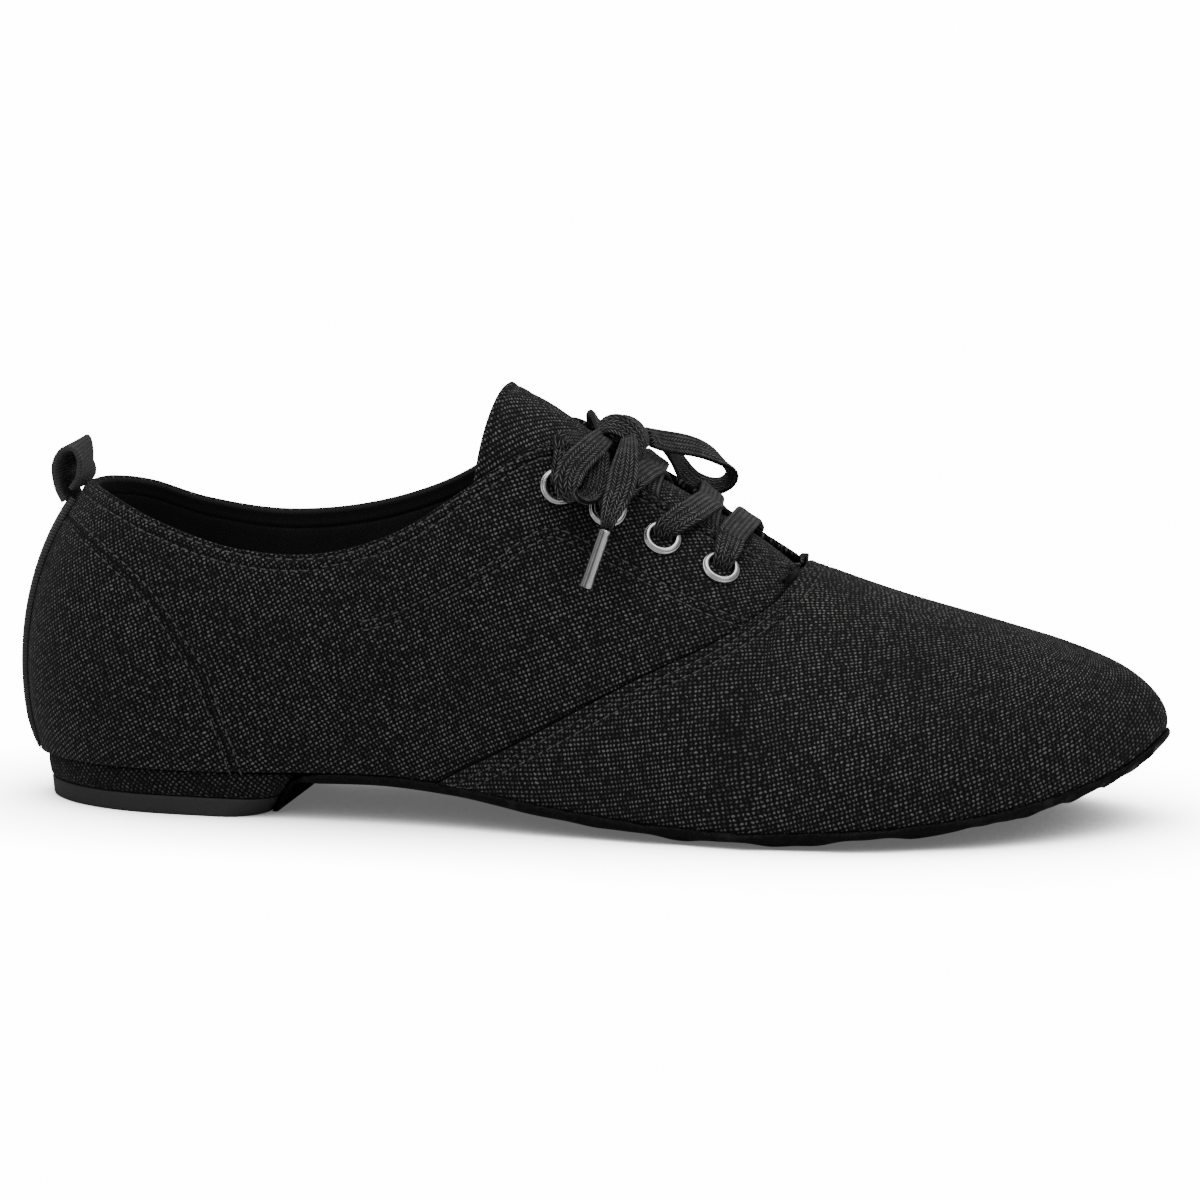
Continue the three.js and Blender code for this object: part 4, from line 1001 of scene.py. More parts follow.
    def insole_board(self) -> bpy.types.Object:
        """Make the insole: board under a cloth sock, with a softly fallen rim."""
        ribs = LAST_ROW * eased(120)
        shares = eased(29)
        lower = np.stack([self.bed(ribs, share, -(self.wall + self.gap)) for share in shares], axis=1)
        upper = lower.copy()
        rim = np.minimum(1, np.sin(math.pi * shares) / 0.25)[None, :]
        rim = rim * np.minimum(1, (LAST_ROW - ribs) / 0.5)[:, None]
        cloth = 0.12 * np.sin(0.11 * lower[..., 0] + 0.16 * lower[..., 1])
        upper[..., 2] += self.insole * (0.75 + 0.25 * rim) + cloth * rim
        uv = np.stack([lower[..., 0], lower[..., 1]], axis=-1)
        edge = np.minimum(shares, 1 - shares)[None, :] * np.abs(
            lower[:, -1:, 1] - lower[:, :1, 1]
        )
        return slab("insole_sock", upper, lower, uv, {"edge": edge})


# The tongue's crest from under the vamp to the free end: shares of the last's length and the instep's rise.
TONGUE_CREST = (
    (0.712, 0.598),
    (0.686, 0.655),
    (0.664, 0.712),
    (0.638, 0.772),
    (0.594, 0.858),
    (0.540, 0.961),
    (0.505, 1.036),
    (0.460, 1.134),
    (0.426, 1.200),
)


@dataclass
class Tongue:
    """The tongue: an arched canvas sheet, hemmed along its free end, with the dent of a stitch row there but
    no stitches.
    """

    last: Last
    thickness: float = 1.6
    spread: float = 0.261
    arch: float = 26.0
    sweep: float = 3.5
    lean: tuple = (0.026, -0.005)
    narrowing: float = 0.92
    widest: float = 80.0
    hem_row: float = 2.1
    rim: float = 0.75

    def crest(self, along: np.ndarray) -> np.ndarray:
        """Give points of the crest at shares of the way to the free end."""
        stops = curve_through(np.array(TONGUE_CREST), 401)
        share = np.linspace(0, 1, 401)
        x = self.last.back_x + self.last.length * np.interp(along, share, stops[:, 0])
        z = self.last.ball_seat + self.last.instep_rise * np.interp(along, share, stops[:, 1])
        return np.stack([x, np.zeros_like(x), z], axis=-1)

    def point(self, along: np.ndarray, angle: np.ndarray, depth: np.ndarray | float = 0.0) -> np.ndarray:
        """Give points of the tongue.

        Args:
            along: Shares of the way to the free end.
            angle: Turns from the crest, in radians, negative on the outer side.
            depth: Depth under the outer face.

        Returns:
            Points of the same shape.
        """
        along, angle = np.broadcast_arrays(np.asarray(along, float), np.asarray(angle, float))
        half = self.spread * self.last.ball_width * (self.narrowing + (1 - self.narrowing) * along) - depth
        point = self.crest(along)
        lean = self.lean[0] + (self.lean[1] - self.lean[0]) * along
        point[..., 0] -= self.sweep * along * np.sin(angle) ** 2
        point[..., 1] = self.last.ball_width * lean + half * np.sin(angle)
        point[..., 2] -= depth + (self.arch - depth) * (1 - np.cos(angle))
        return point

    def over(self, x: float, y: float, height: float) -> tuple:
        """Find the place over the tongue at a distance along and across the shoe.

        Args:
            x: Distance along the shoe.
            y: Distance across it.
            height: Height over the tongue's face.

        Returns:
            The point and the way that the face looks.
        """
        shares = np.linspace(0, 1, 401)
        crest = self.crest(shares)[:, 0]
        along = float(np.interp(x, crest[::-1], shares[::-1]))
        half = self.spread * self.last.ball_width * (self.narrowing + (1 - self.narrowing) * along)
        lean = self.lean[0] + (self.lean[1] - self.lean[0]) * along
        angle = math.asin((y - self.last.ball_width * lean) / half)
        face = unit(np.array([0.6, self.arch / half * math.tan(angle), 1.0]))
        return self.point(np.array(along), np.array(angle)) + face * height, face

    def sheet(self) -> bpy.types.Object:
        """Make the tongue's sheet with a rolled hem."""
        rows, columns = 100, 78
        along = np.linspace(0, 1, rows + 1) ** 0.9
        angle = np.radians(self.widest) * np.linspace(-1, 1, columns + 1)
        grid_along, grid_angle = np.meshgrid(along, angle, indexing="ij")
        bare = self.point(grid_along, grid_angle)
        run = np.stack([length_along(bare[:, j]) for j in range(columns + 1)], axis=1)
        wide = np.stack([length_along(bare[i]) for i in range(rows + 1)])
        to_end = run[-1:, :] - run
        to_side = np.minimum(wide, wide[:, -1:] - wide)
        away = np.minimum(to_end, to_side)
        rounding = rolled(away, self.rim)
        hem = 0.22 * np.clip((self.hem_row + 3.2 - away) / 0.8, 0, 1)
        hem = hem - 0.2 * bell(away - self.hem_row, 0.55)
        sway = 0.5 * np.sin(2.3 * grid_angle + 1.0) * bell(grid_along - 0.86, 0.1)
        sway += 0.35 * np.sin(5.1 * grid_angle - 2.0) * bell(grid_along - 0.95, 0.06)
        upper = self.point(grid_along, grid_angle, rounding - hem - sway)
        lower = self.point(grid_along, grid_angle, self.thickness - rounding - sway)
        uv = np.stack([wide - wide[:, -1:] / 2, run], axis=-1)
        return slab("tongue_canvas", upper, lower, uv, {"edge": np.minimum(away, 60)})


# The pull loop's fold from the strip's end over to the collar: distances back and up from the collar.
PULL_LOOP = (
    (4.8, -4.9),
    (6.3, -1.3),
    (6.8, 3.7),
    (4.9, 7.3),
    (2.1, 7.7),
    (0.7, 5.1),
    (0.9, 2.3),
    (1.5, 0.5),
    (3.1, -1.9),
)


@dataclass
class HeelTape:
    """The ribbed tape up the heel's back seam, and the loop that it is folded into."""

    last: Last
    width: float = 15.0
    thickness: float = 1.2
    strip_height: float = 1.3
    strip_end: float = 5.7
    fold_back: float = 3.4
    pinch: float = 0.62

    def back_rib(self, across: np.ndarray, share: np.ndarray) -> np.ndarray:
        """Find the rib numbers that lie at distances across the heel's back."""
        stops = np.linspace(-2, 2, 161)
        found = []
        for y, t in zip(across.ravel(), share.ravel()):
            found.append(np.interp(y, self.last.point(stops, np.full(161, t))[:, 1], stops))
        return np.array(found).reshape(across.shape)

    def strip(self) -> bpy.types.Object:
        """Make the strip over the back seam."""
        top = 1 - self.strip_end / (0.804 * self.last.instep_rise)
        shares = np.linspace(0.004, top, 70)
        across = self.width * eased(21) - self.width / 2
        wide, share = np.meshgrid(across, shares, indexing="ij")
        ribs = self.back_rib(wide, share)
        edge = np.clip((self.width / 2 - np.abs(wide)) / 0.6, 0, 1)
        height = 0.35 + (self.strip_height - 0.35) * np.sqrt(1 - (1 - edge) ** 2)
        height = 0.15 + (height - 0.15) * np.clip(share / 0.12, 0, 1) ** 0.5
        upper = self.last.surface(ribs, share, height)
        lower = self.last.surface(ribs, share, np.full(ribs.shape, 0.1))
        run = length_along(self.last.point(np.zeros(70), shares))
        uv = np.stack([wide, np.repeat(run[None, :], len(across), axis=0)], axis=-1)
        return slab("back_tape", upper, lower, uv)

    def loop(self) -> bpy.types.Object:
        """Make the folded pull loop, pinched together on its far side."""
        collar = self.last.point(np.array(0.0), np.array(1.0))
        rows = curve_through(np.array(PULL_LOOP), 90)
        path = np.stack([collar[0] - rows[:, 0], np.zeros(90), collar[2] + rows[:, 1]], axis=-1)
        ahead = unit(np.gradient(path, axis=0))
        out = np.stack([-ahead[:, 2], np.zeros(90), ahead[:, 0]], axis=-1)
        across = self.width * eased(21) - self.width / 2
        edge = np.clip((self.width / 2 - np.abs(across)) / 0.5, 0, 1)
        half = self.thickness / 2 * (0.55 + 0.45 * np.sqrt(1 - (1 - edge) ** 2))
        sag = np.sin(math.pi * np.linspace(0, 1, 90))[None, :, None] * (across / self.width)[:, None, None]
        middle = path[None] + np.stack([np.zeros(21), across, np.zeros(21)], axis=-1)[:, None]
        middle = middle + sag * np.array([0.6, 0.0, 1.2])
        far = np.clip(0.5 + across / self.width, 0, 1)[:, None]
        fold = collar[0] - self.fold_back
        close = 1 - self.pinch * far * np.clip(rows[:, 1] / 3, 0, 1)
        middle[..., 0] = fold + (middle[..., 0] - fold) * close
        upper = middle + out[None] * half[:, None, None]
        lower = middle - out[None] * half[:, None, None]
        run = length_along(path)
        uv = np.stack(np.meshgrid(across, run, indexing="ij"), axis=-1)
        return slab("pull_loop_tape", upper, lower, uv)


EYELET_RIBS = (8.95, 10.15, 11.0, 11.85)
BOW_MIDDLE = np.array([99.5, 0.0, 82.3])

# Routes of the free laces from the half knot's middle: a point and the way the lace's face looks.
OUTER_LOOP = (
    (1.2, -6.0, 2.4, 0.63, -0.07, 0.78),
    (1.0, -13.0, 1.9, 0.58, -0.13, 0.80),
    (0.2, -19.5, 0.8, 0.51, -0.37, 0.78),
    (-2.1, -25.5, -1.9, 0.41, -0.58, 0.71),
    (-3.0, -29.0, -5.0, 0.07, -0.83, 0.56),
    (-2.4, -29.5, -7.6, -0.38, -0.91, -0.13),
    (-0.5, -29.5, -9.1, -0.24, -0.07, -0.97),
    (1.3, -27.0, -8.7, -0.03, 0.44, -0.90),
    (2.2, -24.5, -6.7, 0.06, 0.62, -0.78),
    (2.1, -20.5, -3.4, 0.11, 0.67, -0.74),
    (1.9, -17.5, -0.5, 0.02, 0.71, -0.70),
)
INNER_LOOP = (
    (9.4, 4.0, 1.1, 0.87, -0.20, 0.46),
    (11.7, 10.5, -0.4, 0.79, -0.29, 0.54),
    (17.1, 18.5, -2.3, 0.69, -0.31, 0.65),
    (21.2, 23.0, -4.7, 0.70, -0.12, 0.70),
    (24.2, 26.5, -8.0, 0.68, 0.38, 0.62),
    (23.9, 28.5, -11.0, 0.78, 0.52, -0.36),
    (20.9, 28.5, -12.5, 0.10, 0.55, -0.83),
    (16.4, 29.0, -11.6, -0.53, 0.57, -0.63),
    (13.6, 26.0, -8.4, -0.96, 0.27, -0.13),
    (12.3, 18.5, -3.8, -0.97, 0.08, -0.21),
    (10.5, 11.0, -0.4, -0.81, -0.05, -0.58),
    (9.5, 6.0, 1.2, -0.77, -0.05, -0.63),
)
OUTER_END = (
    (6.6, -6.6, 2.3, -0.21, -0.21, 0.96),
    (8.1, -17.5, 0.2, -0.08, -0.34, 0.94),
    (8.4, -23.5, -3.6, 0.15, -0.58, 0.80),
    (8.2, -28.0, -7.3, 0.21, -0.69, 0.70),
    (7.2, -31.0, -10.7, 0.22, -0.84, 0.49),
    (6.1, -33.0, -14.9, 0.22, -0.91, 0.36),
)
INNER_END = (
    (3.5, 6.4, 2.7, 0.1, 0.4, 0.9),
    (2.3, 12.0, 2.1, 0.1, 0.4, 0.9),
    (1.3, 18.0, 0.5, 0.1, 0.6, 0.8),
    (0.7, 24.0, -3.3, 0.1, 0.8, 0.6),
    (0.3, 29.0, -9.3, 0.1, 0.9, 0.3),
    (0.0, 32.4, -16.1, 0.1, 1.0, 0.2),
)
# The lace that wraps the knot, from the back of its near side over the top and down to the front.
KNOT_OVER = (
    (-0.6, -5.0, 1.6, -0.8, -0.45, 0.4),
    (0.1, -6.3, 3.4, -0.6, -0.5, 0.62),
    (2.0, -6.9, 4.9, -0.25, -0.6, 0.76),
    (4.4, -7.1, 4.9, 0.15, -0.65, 0.75),
    (6.7, -7.0, 3.6, 0.5, -0.62, 0.6),
    (8.3, -6.6, 1.4, 0.8, -0.5, 0.35),
    (8.9, -5.6, -0.9, 0.9, -0.4, 0.05),
    (8.4, -4.0, -2.6, 0.85, -0.3, -0.3),
)
KNOT_UNDER = (
    (0.6, -2.6, 2.4, -0.7, 0.0, 0.7),
    (1.8, -2.4, 4.6, -0.4, 0.0, 0.92),
    (4.6, -2.2, 5.9, 0.2, 0.0, 0.98),
    (7.6, -2.0, 4.6, 0.7, 0.0, 0.7),
    (9.3, -1.8, 2.0, 0.95, 0.0, 0.3),
    (9.4, -1.6, -0.4, 0.95, 0.0, -0.3),
)
OUTER_AGLET_TIP = (2.0, -35.6, -28.0)
INNER_AGLET_TIP = (-1.5, 35.4, -29.1)


@dataclass
class Seat:
    """A hole in the quarter: its place on the last, its centre, its axis and the way to the edge."""

    side: Side
    rib: float
    share: float
    centre: np.ndarray
    axis: np.ndarray
    inward: np.ndarray


@dataclass
class Stop:
    """A place on a lace's way: its point, the way its face looks and its width there."""

    point: np.ndarray
    face: np.ndarray
    width: float


@dataclass
class Lacing:
    """Eyelets, the lace over the tongue, and its bow."""

    last: Last
    upper: Upper
    tongue: Tongue
    width: float = 6.5
    thickness: float = 1.2
    inset: float = 10.8
    ring: float = 4.25
    bore: float = 2.6
    gap: float = 0.3
    dome: float = 0.85
    tie_reach: float = 1.5
    aglet_length: float = 13.5
    aglet_radius: float = 1.5

    @cached_property
    def seats(self) -> dict:
        """The holes by side and number, number 0 being the highest."""
        found = {}
        for side in Side:
            for number, rib in enumerate(EYELET_RIBS):
                ribs = np.array([side.value * rib])
                share = float(self.upper.from_top(ribs, np.array([[self.inset]]))[0, 0])
                centre = self.last.point(ribs, np.array([share]))[0]
                axis = self.last.normal(ribs, np.array([share]))[0]
                edge = self.last.point(ribs, np.array([1.0]))[0]
                inward = edge - centre
                inward = unit(inward - axis * (inward @ axis))
                found[side, number] = Seat(side, rib, share, centre, axis, inward)
        return found

    def eyelets(self) -> bpy.types.Object:
        """Make all the eyelets: a domed bright ring round a bore, with a thin rim."""
        outer = self.ring
        profile = [(self.bore, -2.1), (self.bore + 0.25, -2.1), (self.bore + 0.35, 0.05)]
        profile += [(outer, 0.06), (outer + 0.02, 0.2), (outer - 0.25, 0.36)]
        middle, half = (outer + self.bore) / 2 - 0.05, (outer - self.bore) / 2 - 0.22
        for turn in np.linspace(0, math.pi, 9):
            high = 0.36 + (self.dome - 0.3) * math.sin(turn) ** 0.8
            profile.append((middle + half * math.cos(turn), high))
        profile += [(self.bore, 0.1)]
        profile = np.array(profile + profile[:1])
        turns = np.linspace(0, 2 * math.pi, 49)
        made = []
        for (side, number), seat in self.seats.items():
            across = np.cross(seat.axis, seat.inward)
            spokes = np.outer(np.cos(turns), seat.inward) + np.outer(np.sin(turns), across)
            grid = seat.centre + profile[:, 0][:, None, None] * spokes[None]
            grid = grid + (profile[:, 1] + self.gap * 0.6)[:, None, None] * seat.axis
            faces = grid_faces(len(profile), len(turns))
            made.append(make_piece(f"ring_{side.name.lower()}_{number}", grid.reshape(-1, 3), faces))
        return join("eyelets", made)

    def lace(self, name: str, stops: list, steps: int, phase: float = 0.0) -> tuple:
        """Sweep the flat lace along its stops.

        Args:
            name: The piece's name.
            stops: The places that the lace passes.
            steps: How many steps the sweep takes.
            phase: Where the braid's pattern starts, in millimetres.

        Returns:
            The piece and its middle line.
        """
        path = curve_through(np.array([stop.point for stop in stops]), steps + 1)
        faces = curve_through(np.array([stop.face for stop in stops]), steps + 1)
        widths = curve_through(np.array([[stop.width] for stop in stops]), steps + 1)[:, 0]
        ahead = unit(np.gradient(path, axis=0))
        across = unit(np.cross(ahead, faces))
        face = np.cross(across, ahead)
        turns = np.linspace(0, 2 * math.pi, 25)
        wide = np.sign(np.cos(turns)) * np.abs(np.cos(turns)) ** 0.55
        high = np.sign(np.sin(turns)) * np.abs(np.sin(turns)) ** 0.7
        plump = 1 + 0.18 * bell(np.abs(wide) - 0.8, 0.25) - 0.12 * bell(wide, 0.2)
        full = (self.width / widths) ** 0.5
        rings = (
            path[:, None]
            + across[:, None] * (wide[None, :, None] * widths[:, None, None] / 2)
            + face[:, None] * (high * plump)[None, :, None] * (full * self.thickness / 2)[:, None, None]
        )
        run = length_along(path) + phase
        around = wide * 0.5 * self.width
        uv = np.stack(np.broadcast_arrays(run[:, None], around[None, :]), axis=-1)
        return tube(name, rings, uv), path

    def into_eyelet(self, seat: Seat, lean: float) -> list:
        """List the stops of a lace that comes out of an eyelet and runs to the throat's edge."""
        stops = [
            Stop(seat.centre + seat.axis * -1.7 + seat.inward * 0.7, -seat.inward, 3.9),
            Stop(seat.centre + seat.axis * 0.2 + seat.inward * 0.7, -seat.inward, 4.2),
            Stop(
                seat.centre + seat.axis * 1.55 + seat.inward * 1.7,
                unit(seat.axis - seat.inward * 0.6),
                4.9,
            ),
        ]
        for share, height, width in ((0.42, 1.9, 6.0), (0.72, 1.5, 6.4), (1.0, 1.25, 6.4)):
            rib = seat.side.value * (seat.rib + lean * share)
            place = seat.share + (1 - seat.share) * share
            normal = self.last.normal(np.array([rib]), np.array([place]))[0]
            point = self.last.point(np.array([rib]), np.array([place]))[0]
            stops.append(Stop(point + normal * height, normal, width))
        return stops

    def over_tongue(self, x: float, y: float, height: float, width: float = 6.5) -> Stop:
        """Place a stop over the tongue."""
        point, face = self.tongue.over(x, y, height)
        return Stop(point, face, width)

    def under_edge(self, seat: Seat) -> list:
        """List the stops of a lace that goes under the throat's edge beside an eyelet."""
        rib = seat.side.value * (seat.rib - 0.4)
        edge = self.last.point(np.array([rib]), np.array([1.0]))[0]
        y = edge[1] - seat.side.value * self.width * 0.6
        near = self.over_tongue(float(edge[0]), float(y), 1.2, 6.3)
        hidden = self.over_tongue(float(edge[0]) + 1.0, float(y + seat.side.value * 3.2), 0.75, 6.0)
        return [near, hidden]

    def bar(self) -> bpy.types.Object:
        """Make the lowest bar, from eyelet to eyelet."""
        lowest = len(EYELET_RIBS) - 1
        outer = self.into_eyelet(self.seats[Side.OUTER, lowest], 0.0)
        inner = self.into_eyelet(self.seats[Side.INNER, lowest], 0.0)[::-1]
        middle = (outer[-1].point + inner[0].point) / 2
        crown = self.over_tongue(float(middle[0]), float(middle[1]), 1.5)
        crown.point[2] = max(crown.point[2], middle[2] + 1.0)
        return self.lace("lace_bar_braid", [*outer, crown, *inner], 60)[0]

    def crossing(self, side: Side, number: int) -> bpy.types.Object:
        """Make a strand from under one edge over the other and into the eyelet behind.

        Args:
            side: The side of the eyelet.
            number: The eyelet's number.

        Returns:
            The strand.
        """
        other = Side.INNER if side is Side.OUTER else Side.OUTER
        over = self.into_eyelet(self.seats[side, number], 0.3)
        under = self.under_edge(self.seats[other, number + 1])
        lift = 1.75 if side is Side.OUTER else 1.2
        middle = self.over_tongue(float(over[-1].point[0] + under[0].point[0]) / 2, 0.0, lift)
        name = f"strand_{side.name.lower()}_{number}"
        return self.lace(name, [*over, middle, *under], 60, 3.0 * number)[0]

    def tie(self, side: Side) -> bpy.types.Object:
        """Make one side of the half knot, from the top eyelet to the middle."""
        over = self.into_eyelet(self.seats[side, 0], 0.0)
        for stop in over[3:]:
            stop.width = 5.2
        beside = self.over_tongue(BOW_MIDDLE[0] - self.tie_reach, side.value * self.width, 1.3, 4.8)
        middle = self.over_tongue(BOW_MIDDLE[0], -side.value * 1.5, 1.3, 4.4)
        return self.lace(f"tie_{side.name.lower()}", [*over, beside, middle], 56)[0]

    def free(self, name: str, route: tuple, widths: tuple, steps: int) -> tuple:
        """Make a free stretch of lace along a route."""
        spread = np.interp(np.linspace(0, 1, len(route)), np.linspace(0, 1, len(widths)), widths)
        stops = [
            Stop(BOW_MIDDLE + np.array(row[:3]), unit(np.array(row[3:])), float(width))
            for row, width in zip(route, spread)
        ]
        return self.lace(name, stops, steps)

    def aglet(self, name: str, end: np.ndarray, tip: tuple) -> bpy.types.Object:
        """Make a metal aglet: a rolled tube with a seam, nipped at the lace and flared at the tip."""
        axis = unit(BOW_MIDDLE + np.array(tip) - end)
        start = end + axis * self.gap
        across = unit(np.cross(axis, np.array([1.0, 0.3, 0.0])))
        other = np.cross(axis, across)
        radius, length = self.aglet_radius, self.aglet_length
        profile = (
            (0.0, 0.55), (0.02, 0.8), (0.05, 0.84), (0.1, 0.84), (0.13, 0.78), (0.16, 0.84), (0.8, 0.9),
            (0.93, 0.93), (0.96, 1.0), (0.99, 1.0), (1.0, 0.9), (1.0, 0.7), (0.985, 0.66),
        )
        turns = np.linspace(0, 2 * math.pi, 41)
        seam = 1 - 0.1 * bell((turns + math.pi) % (2 * math.pi) - math.pi, 0.12)
        rings = []
        for along, wide in profile:
            spokes = np.outer(np.cos(turns), across) + np.outer(np.sin(turns), other)
            rings.append(start + axis * along * length + spokes * (radius * wide * seam)[:, None])
        heights = np.array([along * length for along, _ in profile])
        uv = np.stack(np.broadcast_arrays(turns[None, :], heights[:, None]), axis=-1)
        return tube(name, np.array(rings), uv)

    def knot(self) -> bpy.types.Object:
        """Make the bow's knot: the lace wrapped over the crossed loops, round a crumpled core."""
        centre = BOW_MIDDLE + np.array([5.0, -0.5, 2.9])
        lean = math.atan(0.6)
        ahead = np.array([math.cos(lean), 0.0, -math.sin(lean)])
        up = np.array([math.sin(lean), 0.0, math.cos(lean)])
        across = np.array([0.0, 1.0, 0.0])
        pieces = []
        for name, rows, width in (("wrap_over", KNOT_OVER, 6.4), ("wrap_under", KNOT_UNDER, 5.6)):
            route = curve_through(np.array(rows), 12)
            widths = tuple(width * (0.75 + 0.25 * math.sin(math.pi * i / 11)) for i in range(12))
            pieces.append(self.free(name, tuple(map(tuple, route)), widths, 60)[0])
        turns = np.linspace(0, 2 * math.pi, 33)
        levels = np.linspace(0, math.pi, 15)[1:-1]
        rings = []
        for level in levels:
            crumple = 1 + 0.06 * np.sin(3 * turns + 4 * level) + 0.04 * np.sin(7 * turns)
            spokes = np.outer(np.cos(turns), ahead) * 4.6 + np.outer(np.sin(turns), up) * 1.7
            middle = centre + across * 5.2 * math.cos(level)
            rings.append(middle + spokes * (math.sin(level) * crumple)[:, None])
        rings = np.array(rings)
        along = (rings - centre) @ ahead
        uv = np.stack([along, (rings - centre)[..., 1]], axis=-1)
        pieces.append(tube("core", rings, uv))
        return join("bow_knot", pieces)


def add_node(
    tree: bpy.types.NodeTree, kind: str, settings: dict | None, values: dict | None
) -> bpy.types.Node:
    """Add a node to a tree.

    Args:
        tree: The tree.
        kind: The node's type.
        settings: Properties of the node, set first.
        values: Values or links of its input sockets, by name or number.

    Returns:
        The node.
    """
    made = tree.nodes.new(kind)
    for key, setting in (settings or {}).items():
        setattr(made, key, setting)
    for key, value in (values or {}).items():
        if isinstance(value, Value):
            value = value.socket
        if isinstance(value, bpy.types.NodeSocket):
            tree.links.new(value, made.inputs[key])
        else:
            made.inputs[key].default_value = value
    return made


class StitchTree:
    """The Geometry Nodes tree that lays rounded stitches along lines on the cloth."""

    def __init__(self) -> None:
        """Build the tree and its named inputs."""
        self.tree = bpy.data.node_groups.new("stitch_rows", "GeometryNodeTree")
        face = self.tree.interface
        face.new_socket("Geometry", in_out="INPUT", socket_type="NodeSocketGeometry")
        self.inputs = {}
        for name in ("Pitch", "Length", "Width", "Height"):
            socket = face.new_socket(name, in_out="INPUT", socket_type="NodeSocketFloat")
            self.inputs[name] = socket.identifier
        thread = face.new_socket("Thread", in_out="INPUT", socket_type="NodeSocketMaterial")
        self.inputs["Thread"] = thread.identifier
        face.new_socket("Geometry", in_out="OUTPUT", socket_type="NodeSocketGeometry")
        self.build()

    def node(self, kind: str, settings: dict | None = None, values: dict | None = None) -> bpy.types.Node:
        """Add a node of a type with its settings and the values or links of its inputs."""
        return add_node(self.tree, kind, settings, values)

    def build(self) -> None:
        """Lay out the tree."""
        enter = self.node("NodeGroupInput")
        line = self.node("GeometryNodeMeshToCurve", values={"Mesh": enter.outputs["Geometry"]})
        spread = self.node(
            "GeometryNodeResampleCurve",
            {"mode": "LENGTH"},
            {"Curve": line.outputs[0], "Length": enter.outputs["Pitch"]},
        )
        bead = self.node("GeometryNodeMeshUVSphere", values={"Segments": 8, "Rings": 6, "Radius": 0.5})
        size = self.node(
            "ShaderNodeCombineXYZ",
            values={
                "X": enter.outputs["Length"],
                "Y": enter.outputs["Width"],
                "Z": enter.outputs["Height"],
            },
        )
        vary = self.node(
            "FunctionNodeRandomValue",
            {"data_type": "FLOAT"},
            {2: 0.88, 3: 1.1, "Seed": 7},
        )
        sized = self.node(
            "ShaderNodeVectorMath",
            {"operation": "SCALE"},
            {0: size.outputs[0], "Scale": vary.outputs[1]},
        )
        ahead = self.node("GeometryNodeInputTangent")
        lay = self.node("GeometryNodeInputNamedAttribute", {"data_type": "FLOAT_VECTOR"}, {"Name": "lay"})
        turn = self.node(
            "FunctionNodeAxesToRotation",
            {"primary_axis": "X", "secondary_axis": "Z"},
            {0: ahead.outputs[0], 1: lay.outputs[0]},
        )
        sown = self.node(
            "GeometryNodeInstanceOnPoints",
            values={
                "Points": spread.outputs[0],
                "Instance": bead.outputs["Mesh"],
                "Rotation": turn.outputs[0],
                "Scale": sized.outputs[0],
            },
        )
        real = self.node("GeometryNodeRealizeInstances", values={"Geometry": sown.outputs[0]})
        soft = self.node("GeometryNodeSetShadeSmooth", values={"Geometry": real.outputs[0]})
        dressed = self.node(
            "GeometryNodeSetMaterial",
            values={"Geometry": soft.outputs[0], "Material": enter.outputs["Thread"]},
        )
        leave = self.node("NodeGroupOutput")
        self.tree.links.new(dressed.outputs[0], leave.inputs[0])


@dataclass
class Stitcher:
    """Sews rows of stitches onto finished pieces."""

    thread: bpy.types.Material
    tree: StitchTree = field(default_factory=StitchTree)
    pitch: float = 2.4
    length: float = 1.8
    width: float = 0.42
    height: float = 0.315
    lift: float = -0.05
    search: float = 0.8

    def snapped(self, line: Line, cloth: bpy.types.Object) -> tuple:
        """Lay a line on a piece, sunk in a little, and give its points and normals there."""
        tree = BVHTree.FromObject(cloth, bpy.context.evaluated_depsgraph_get())
        points, normals = [], []
        for point, hint in zip(line.points, line.normals):
            found, normal, _, _ = tree.find_nearest(Vector((point + hint * self.search) * MM))
            if normal.dot(Vector(hint)) < 0:
                normal = -normal
            points.append(np.array(found) / MM + np.array(normal) * self.lift)
            normals.append(np.array(normal))
        return np.array(points), np.array(normals)

    def sew(self, name: str, rows: list) -> bpy.types.Object:
        """Sew rows of stitches, each given by its points and normals, as one piece."""
        points, edges, lay = [], [], []
        for line, normals in rows:
            first = len(points)
            points += (line * MM).tolist()
            lay += normals.tolist()
            edges += [(first + i, first + i + 1) for i in range(len(line) - 1)]
        mesh = bpy.data.meshes.new(name)
        mesh.from_pydata(points, edges, [])
        mesh.attributes.new("lay", "FLOAT_VECTOR", "POINT").data.foreach_set("vector", np.ravel(lay))
        path = bpy.data.objects.new(name, mesh)
        bpy.context.scene.collection.objects.link(path)
        sewing = path.modifiers.new("sewing", "NODES")
        sewing.node_group = self.tree.tree
        sizes = {
            "Pitch": self.pitch,
            "Length": self.length,
            "Width": self.width,
            "Height": self.height,
        }
        for key, value in sizes.items():
            sewing[self.tree.inputs[key]] = value * MM
        sewing[self.tree.inputs["Thread"]] = self.thread
        ready = path.evaluated_get(bpy.context.evaluated_depsgraph_get())
        plain = bpy.data.meshes.new_from_object(ready)
        path.modifiers.clear()
        path.data = plain
        return path


